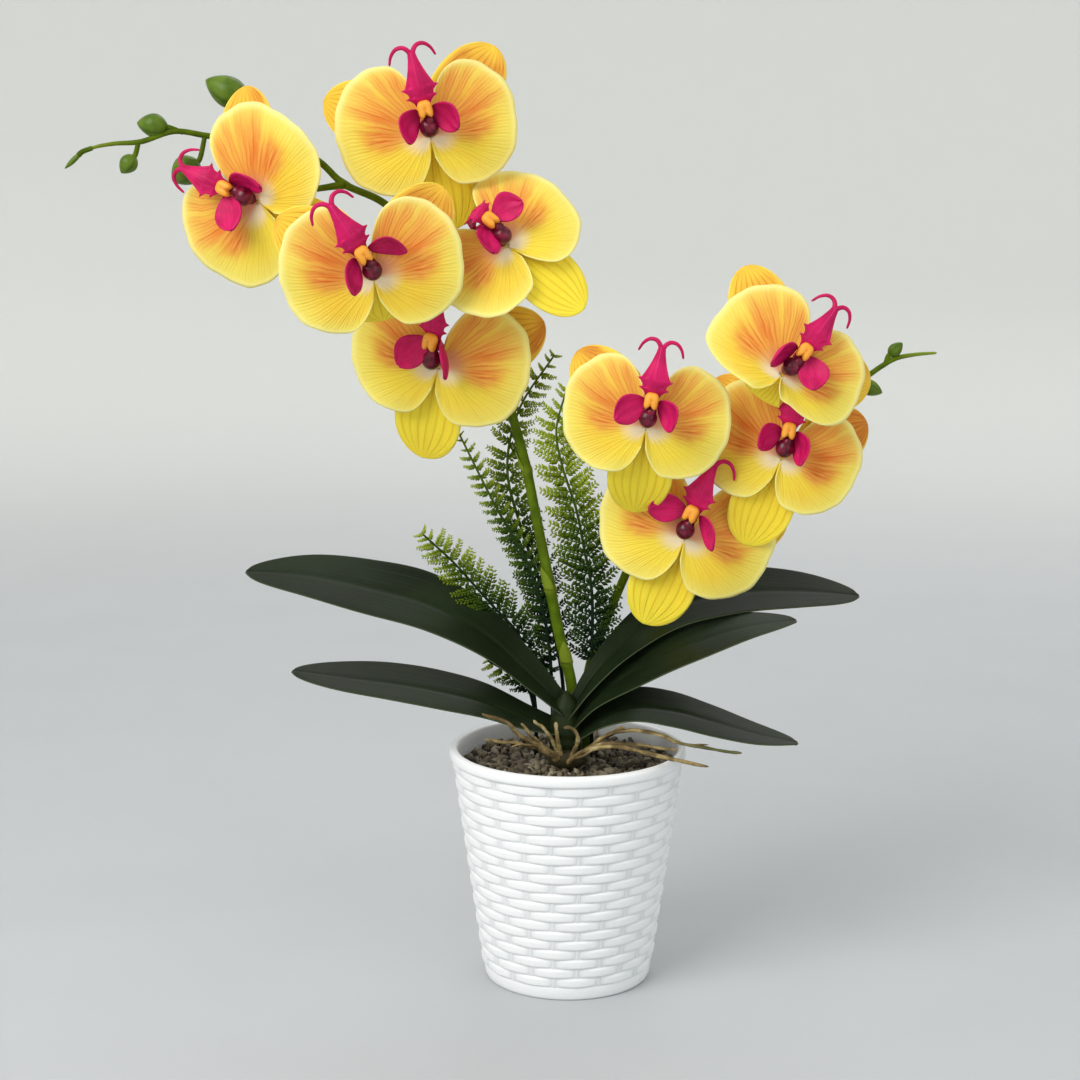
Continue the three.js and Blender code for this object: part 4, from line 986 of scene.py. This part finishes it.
def make_side_lobe(side, x, y, steep, bulge):
    """A cupped oval about a line from the throat to its tip, standing more or less steeply."""
    root = np.array([side * 3.4, 13.6, 9])
    tip = np.array([x, y, 15.5])
    axis = unit(tip - root)
    outwards = -side * unit(np.array([axis[1], -axis[0], 0]))
    out = np.array([0, 0, math.cos(math.radians(steep))]) - math.sin(math.radians(steep)) * outwards
    out = unit(out - axis * (out @ axis))
    wide = np.cross(out, axis)
    v, u = lattice(27, 21)
    along = (0.02 + 0.98 * (1 - (1 - v) ** 1.4))[..., None]
    hump = np.clip(np.sin(np.pi * along**1.15), 0.0, 1)
    half = 7.4 * np.maximum(hump, 0.02) ** 0.58
    place = (2 * u - 1)[..., None]
    lift = hump * (2.0 * place**2 - 1.3) + 0.3 * np.sin(8 * place + 4 * along) * along
    middle = root + (tip - root) * along + wide * place * half + outwards * bulge * hump + out * lift
    skin = sheet(middle[:, ::-1], 1.2 - 0.5 * np.abs(2 * u - 1) ** 3)
    # The mark darkens the side lobe at its root by the throat: painted shade.
    skin.mark = np.clip(1 - skin.chart[:, 1] * 5, 0, 1)
    return skin


def make_lip(bloom):
    """Middle lobe, two tendrils, the claw that joins them to the throat, and the side lobes."""
    skins = [make_midlobe()]
    for side in (-1, 1):
        line = [[side * 0.2, 37, 12.6], [side * 1.2, 40, 12.7], [side * 3.4, 42, 12.2],
                [side * 6.4, 42, 11.6], [side * 9.2, 39.6, 10.4], [side * 11, 35.4, 9]]
        skins.append(tube(smooth_line(line, 30), np.linspace(1.35, 0.55, 30) * rounded(30, 0.06), 10))
    for skin in skins:
        skin.points = bend_back(skin.points, bloom.get("curl", 0))
    claw = smooth_line([[0, 9.6, 2.4], [0, 11.8, 6], [0, 14.8, 9.2]], 12)
    # The claw's mark of 1 paints it fully in shade under the column.
    skins.append(tube(claw, np.linspace(2.1, 2.7, 12), 16, np.ones(12)))
    skins += [make_side_lobe(side, *lobe) for side, lobe in zip((-1, 1), bloom["lobes"])]
    return set_skins(skins, bloom, "lip")


def make_column(bloom):
    """A round cap on a short neck, with a smaller knob that leans over towards the callus."""
    neck = tube(smooth_line([[0, 3.6, 1.2], [0, 4, 4], [0, 4.3, 7]], 10), np.linspace(3, 3.4, 10), 20)
    skins = [neck, make_ball((0, 4.4, 8.2), (4.5, 4.7, 4.1), 18, 30),
             make_ball((0.9, 7.8, 10.2), (2.7, 2.9, 2.3), 12, 20)]
    return set_skins(skins, bloom, "lip")


def make_callus(bloom):
    """A waxy lump: its outline, notched between two prongs, swells into a dome with a crease."""
    outline = smooth_line([(0, 17.2), (-2, 16.9), (-3.2, 15.4), (-3.4, 12.6), (-3.1, 10), (-2.1, 9),
                           (-0.9, 9.7), (0, 10.5), (0.9, 9.7), (2.1, 9), (3.1, 10), (3.4, 12.6),
                           (3.2, 15.4), (2, 16.9), (0, 17.2)], 61)[:-1]
    centre = np.array([0, 13.4])
    share = np.array([0.84, 0.97, 1.0, 0.97, 0.88, 0.72, 0.5, 0.25])[:, None, None]
    height = np.array([11.5, 11.8, 12.7, 13.6, 14.4, 14.9, 15.1, 15.2])[:, None]
    flat = centre + (outline - centre)[None] * share
    near = np.clip((13.5 - flat[..., 1]) / 2, 0, 1)
    groove = 0.5 * np.exp(-(flat[..., 0] / 0.7) ** 2) * (height > 13) * near
    rings = np.concatenate([flat, (height - groove)[..., None]], -1)
    skin = shell(rings[:, ::-1], [0, 13.4, 11.5], [0, 13.4, 14.6])
    # The mark follows the groove's depth: painted shade in the groove.
    skin.mark = np.append(groove[:, ::-1].ravel() * 0.8, [0.5, 0.5])
    return set_skins([skin], bloom, "lip")


for name, bloom in BLOOMS.items():
    build(f"lobes_{name}", make_lip(bloom), [lip_crimson], [f"bloom_{name}_lip"])
    build(f"cap_{name}", make_column(bloom), [column_maroon], [f"bloom_{name}_column"])
    build(f"prongs_{name}", make_callus(bloom), [callus_orange], [f"bloom_{name}_callus"])

# %% [markdown]
# ## Flower stems, stalks and buds
# Each stem is a long tube that thins towards its tip, with a swollen joint and a small scale leaf
# where the plant would once have grown a leaf. Every bloom hangs on its own slim stalk, and the last
# ones are still closed, as glossy green buds with three shallow seams.
# %% Stem finishes
stem_skin = Finish("stem_green", Specular_IOR_Level=0.07)
strands = stem_skin.noise(120, 4)
bands = stem_skin.noise(26, 2)
stem_colour = stem_skin.layers("#405307", (strands.between(0.25, 0.75), "#5c7310"),
                               (bands.between(0.45, 0.75) * 0.4, "#43500f"),
                               (stem_skin.mark() * 0.35, "#86972f"))
stem_green = stem_skin.paint(stem_colour, strands * 0.15 + 0.38, strands, 0.15)

bud_skin = Finish("bud_green", Specular_IOR_Level=0.2)
bloomy = bud_skin.noise(130, 3)
bud_colour = bud_skin.layers("#456013", (bloomy.between(0.3, 0.7), "#5f781f"),
                             (bud_skin.mark() * 0.7, "#2b420e"))
bud_green = bud_skin.paint(bud_colour, bloomy * 0.15 + 0.28, bloomy, 0.1)

# %% Stem lines
STEMS = {
    "a": ([[3, 12, 99.2], [2, 12, 147], [-4, 12, 173], [-12, 13, 214], [-17, 14, 239], [-21, 15, 259],
           [-27, 16, 282], [-36, 18, 312], [-49, 19, 344], [-69, 18, 371], [-92, 14, 392],
           [-111, 13, 401], [-125, 14, 413], [-156, 14, 421], [-177, 10, 424], [-192, 5, 426],
           [-208, 2, 421], [-221, 0, 420], [-231, -1, 418], [-239, -2, 414]], (3.1, 1.2),
          [("a5", 0.42), ("a4", 0.47), ("a3", 0.56), ("a2", 0.6), ("a1", 0.71)], (0.13, 0.21, 0.34)),
    "b": ([[9, 20.4, 99.2], [9, 21, 140], [12, 25, 158], [19, 27, 177], [30, 28, 204], [42, 28, 232],
           [60, 26, 266], [86, 18, 290], [115, 9, 301], [137, 4, 304], [145, 4, 306], [154, 4, 312],
           [161, 4, 316], [170, 3, 318], [181, 2, 319]], (2.7, 1.2),
          [("b4", 0.44), ("b1", 0.58), ("b3", 0.68), ("b2", 0.8, [114, -16, 326])], (0.2, 0.36)),
}
BUDS = [
    ("a", [-157, 16, 440], [-178, 16, 451], 15.5, [-156, 14, 421]),
    ("a", [-195, 5, 428], [-210, 4, 430], 11.5, [-188, 6, 425.4]),
    ("a", [-211, 2, 414.5], [-218, 2, 406], 9, [-209, 2, 421]),
    ("a", [-181, 8, 412], [-194, 7, 402], 15, [-178, 10, 424]),
    ("a", [-236, -2, 416], [-244.5, -2.5, 408], 2.8, [-231, -1, 418]),
    ("b", [143, 4, 304], [155, 4, 299], 8, [137, 4, 304]),
    ("b", [157.6, 4, 317.3], [164.2, 4, 323.8], 6.5, [156, 4, 313]),
]


def make_bud(base, tip, thickness):
    """Turned oval x (1 - small cosine of three seams); the mark is 1 in the seams."""
    base, tip = np.array(base, float), np.array(tip, float)
    t = np.linspace(0.01, 0.99, 28)[:, None]
    a = circle(36)[None]
    body = thickness / 2 * np.sin(np.pi * t**0.86) ** 0.72
    seam = np.exp(-((np.mod(a, 2 * np.pi / 3) - np.pi / 3) / 0.13) ** 2)
    radius = body * (1 - 0.07 * seam * np.sin(np.pi * t))
    axis = unit(tip - base)
    side = unit(np.cross(axis, [0, 1, 0.2]))
    ring = np.cos(a)[..., None] * side + np.sin(a)[..., None] * np.cross(axis, side)
    rings = base + t[..., None] * (tip - base) + radius[..., None] * ring
    skin = shell(rings, base, tip, slot=1)
    skin.mark = np.append((seam * np.sin(np.pi * t)).ravel(), [0, 0])
    return skin


def make_scale_leaf(path, radius, at, spin):
    """A thin pointed scale that hugs the stem above a joint."""
    steps = len(path)
    span = path[int(at * steps):int(at * steps) + max(6, steps // 34)]
    v, u = np.meshgrid(np.linspace(0, 1, len(span)), np.linspace(-1, 1, 11), indexing="ij")
    a = spin + u * 1.5 * (1 - 0.97 * v**1.6)
    out = radius * 1.04 + 0.3 + 0.5 * v
    x = np.stack([np.cos(a), -np.sin(a), 0 * a], -1) * out[..., None]
    return sheet(span[:, None] + x, 0.5 - 0.3 * v, 0.5)


def make_stem(name):
    """The stem's tube with swollen joints, its scale leaves, stalks and buds."""
    points, (thick, thin), stalks, joints = STEMS[name]
    steps = 320
    t = np.linspace(0, 1, steps)
    path = smooth_line(points, steps)
    joint = sum(np.exp(-((t - place) / 0.004) ** 2) for place in joints)
    for _, place, *_ in stalks:
        joint = joint + 0.7 * np.exp(-((t - place) / 0.006) ** 2)
    tip = np.clip((t - 0.93) / 0.07, 0, 1)
    radius = (thick + (thin - thick) * t) * (1 + 0.02 * np.sin(40 * t) - 0.5 * tip) + 0.55 * joint
    skins = [tube(path, radius * rounded(steps, 0.004), 20, np.clip(joint + 2 * tip, 0, 2))]
    for k, place in enumerate(joints):
        skins.append(make_scale_leaf(path, thick + (thin - thick) * place, place, 1.2 + 1.1 * k))
    for bloom, place, *via in stalks:
        behind = set_bloom(np.array([[0, 0, -13], [0, 0, -5.0]]), BLOOMS[bloom], "face")
        line = smooth_line([path[int(place * (steps - 1))], *via, *behind], 60)
        flare = 1.8 - 0.35 * np.sin(np.pi * np.linspace(0, 1, 60))
        skins.append(tube(line, flare + 0.5 * np.exp(-np.linspace(0, 12, 60)), 14, 0.15 + 0 * flare))
    for owner, base, tip, thickness, start in BUDS:
        if owner == name:
            inside = np.array(base) + 0.2 * (np.array(tip) - np.array(base))
            line = smooth_line([start, base, inside], 24)
            skins += [make_bud(base, tip, thickness), tube(line, np.linspace(1.2, 1.35, 24), 12)]
    return skins


for name in STEMS:
    build(f"stem_{name}", make_stem(name), [stem_green, bud_green], [f"flower_stem_{name}"])

# %% [markdown]
# ## Fern sprays
# Behind the leaves stand four sprays of a fine fern: a wiry rib with side ribs in pairs, and on each
# of those two rows of needle leaflets. One leaflet is a few faces; its copies are placed by arrays.
# %% Fern finish
frond = Finish("fern_green", Specular_IOR_Level=0.08)
fleck = frond.noise(80, 3)
height = frond.part(frond.place(), 2)
# This tone is darker low down and paler, yellower higher up: painted shade under the leaves and painted light
# above them. Through the mark, each spray's light weight adds painted light towards its tip; the mark's
# growth along each side rib is the leaflets' own paler tips.
tips_and_painted_light = height.between(0.14, 0.29) * 0.75 + frond.mark() * 0.5 - 0.15
frond_colour = frond.ramp(tips_and_painted_light + (fleck - 0.5) * 0.3, (0.0, "#0f2011"), (0.35, "#263c10"),
                          (0.65, "#4d6212"), (1.0, "#93a62a"))
fern_green = frond.paint(frond_colour, fleck * 0.2 + 0.4, fleck, 0.1)

# %% Fern surfaces
# Each spray's last number is its light weight: painted light that brightens it towards its tip.
FERNS = {
    "left_tall": ([[-8, 16.6, 99.2], [-8, 16, 140], [-11, 14, 178], [-20, 13, 210], [-28, 13, 225],
                   [-38, 14, 243], [-55, 16, 277]], 7.5, 27, 0.1),
    "back_tall": ([[-2, 24, 99.2], [-3, 23, 150], [-12, 22, 192], [-24, 22, 228], [-31, 24, 258],
                   [-25, 26, 288], [-7, 26, 316]], 11, 28, 0.1),
    "middle": ([[12.4, 16.8, 99.2], [12, 16, 150], [12, 12, 197], [8, 9, 220], [4, 7, 240], [-3, 5, 262],
                [-6, 3, 280], [-1, 1, 301]], 14, 27, 0.45),
    "left_low": ([[-16.4, 13.7, 99.2], [-17, 14, 140], [-24, 13, 172], [-38, 9, 190], [-47, 6, 201],
                  [-57, 3, 213], [-73, -1, 229]], 12.5, 21, 0.85),
}
# The sprig's light weight of 2.2 is painted light that lifts it out of the leaves' shade.
SPRIG = [[-17, 13.5, 136], [-20, 11, 146], [-28, 9, 154], [-41, 8, 162]], 8, 6, 2.2
# One leaflet along X: a keeled, pointed blade of eight faces.
NEEDLE = np.array([[0, 0, 0], [0.5, 0.25, 0.03], [0.5, -0.25, 0.03], [0.4, 0, -0.09], [0.42, 0, 0.1],
                   [1, 0, 0.02]])
NEEDLE_FACES = np.array([[0, 4, 1], [0, 2, 4], [4, 5, 1], [2, 5, 4], [0, 1, 3], [0, 3, 2], [1, 5, 3],
                         [3, 5, 2]])


def copies(at, along, flat, length, mark):
    """The leaflet set at each place: X along, Y across, Z flat, all scaled by its length."""
    along = unit(along)
    across = unit(np.cross(flat, along))
    axes = np.stack([along, across, np.cross(along, across)], axis=1)
    points = at[:, None] + (NEEDLE[None] @ axes) * length[:, None, None]
    faces = NEEDLE_FACES[None] + (np.arange(len(at)) * len(NEEDLE))[:, None, None]
    chart = np.zeros((len(at) * len(NEEDLE), 2))
    return Skin(points, np.empty((0, 4), int), faces, chart, np.repeat(mark, len(NEEDLE)))


def make_fern(points, longest, pairs, light, seed):
    """Side ribs leave the rib at 68 degrees; leaflets leave each side rib at 52, both in pairs.

    The mark grows along each side rib, and by the light weight towards the tip of the spray; that weight is
    painted light.
    """
    random = np.random.default_rng(seed)
    steps = 200
    path = smooth_line(points, steps)
    skins = [tube(path, np.linspace(1.15, 0.5, steps) * rounded(steps, 0.01), 8)]
    tangent = unit(np.gradient(path, axis=0))
    ribs = 2 * pairs
    order = np.arange(ribs) // 2
    side = np.where(np.arange(ribs) % 2, 1.0, -1.0)
    v = (order + 0.3 * (side > 0)) / order.max()
    spot = np.clip(((0.3 + 0.7 * v) * (steps - 1)).astype(int), 0, steps - 2)
    along = tangent[spot]
    across = unit(np.cross([0, -1, 0], along))
    flat = np.cross(along, across)
    lean = np.radians(68 + random.normal(0, 4, ribs))[:, None]
    way = along * np.cos(lean) + side[:, None] * across * np.sin(lean)
    way = unit(way + flat * random.normal(0, 0.16, ribs)[:, None])
    reach = 1.15 * longest * (0.45 + 0.55 * np.sin(np.pi * (0.25 + 0.7 * np.minimum(v, 1))))
    reach = reach * np.where(v > 0.93, 0.6, 1)
    s = np.linspace(0, 1, 7)[None, :, None]
    droop = -flat[:, None] * reach[:, None, None] * 0.12 * s**2
    bend = along[:, None] * reach[:, None, None] * 0.12 * s**2
    side_ribs = path[spot][:, None] + way[:, None] * reach[:, None, None] * s + droop + bend
    skins += [tube(line, np.linspace(0.55, 0.25, 7), 5, np.linspace(0.1, 0.8, 7) + light * share)
              for line, share in zip(side_ribs, v)]

    leaflets = 8
    w = (np.arange(leaflets) + 0.6) / leaflets
    base = blend(w, s[0, :, 0], side_ribs.transpose(1, 0, 2).reshape(7, -1)).reshape(leaflets, ribs, 3)
    for hand in (-1.0, 1.0):
        out = unit(np.cross(flat, way)) * hand
        direction = unit(way * 0.62 + out * 0.78)[None] + random.normal(0, 0.1, (leaflets, ribs, 3))
        length = 0.32 * reach[None] * (1 - 0.55 * w[:, None] ** 1.6)
        length = length * random.uniform(0.85, 1.15, (leaflets, ribs))
        mark = w[:, None] + light * v[None]
        facing = np.broadcast_to(flat[None], base.shape).reshape(-1, 3)
        skins.append(copies(base.reshape(-1, 3), direction.reshape(-1, 3), facing, length.ravel(),
                            mark.ravel()))
    return skins


for seed, (name, fern) in enumerate(FERNS.items()):
    skins = make_fern(*fern, 21 + seed)
    if name == "left_low":
        skins += make_fern(*SPRIG, 31)
    build(f"frond_{name}", skins, [fern_green], [f"fern_{name}"])
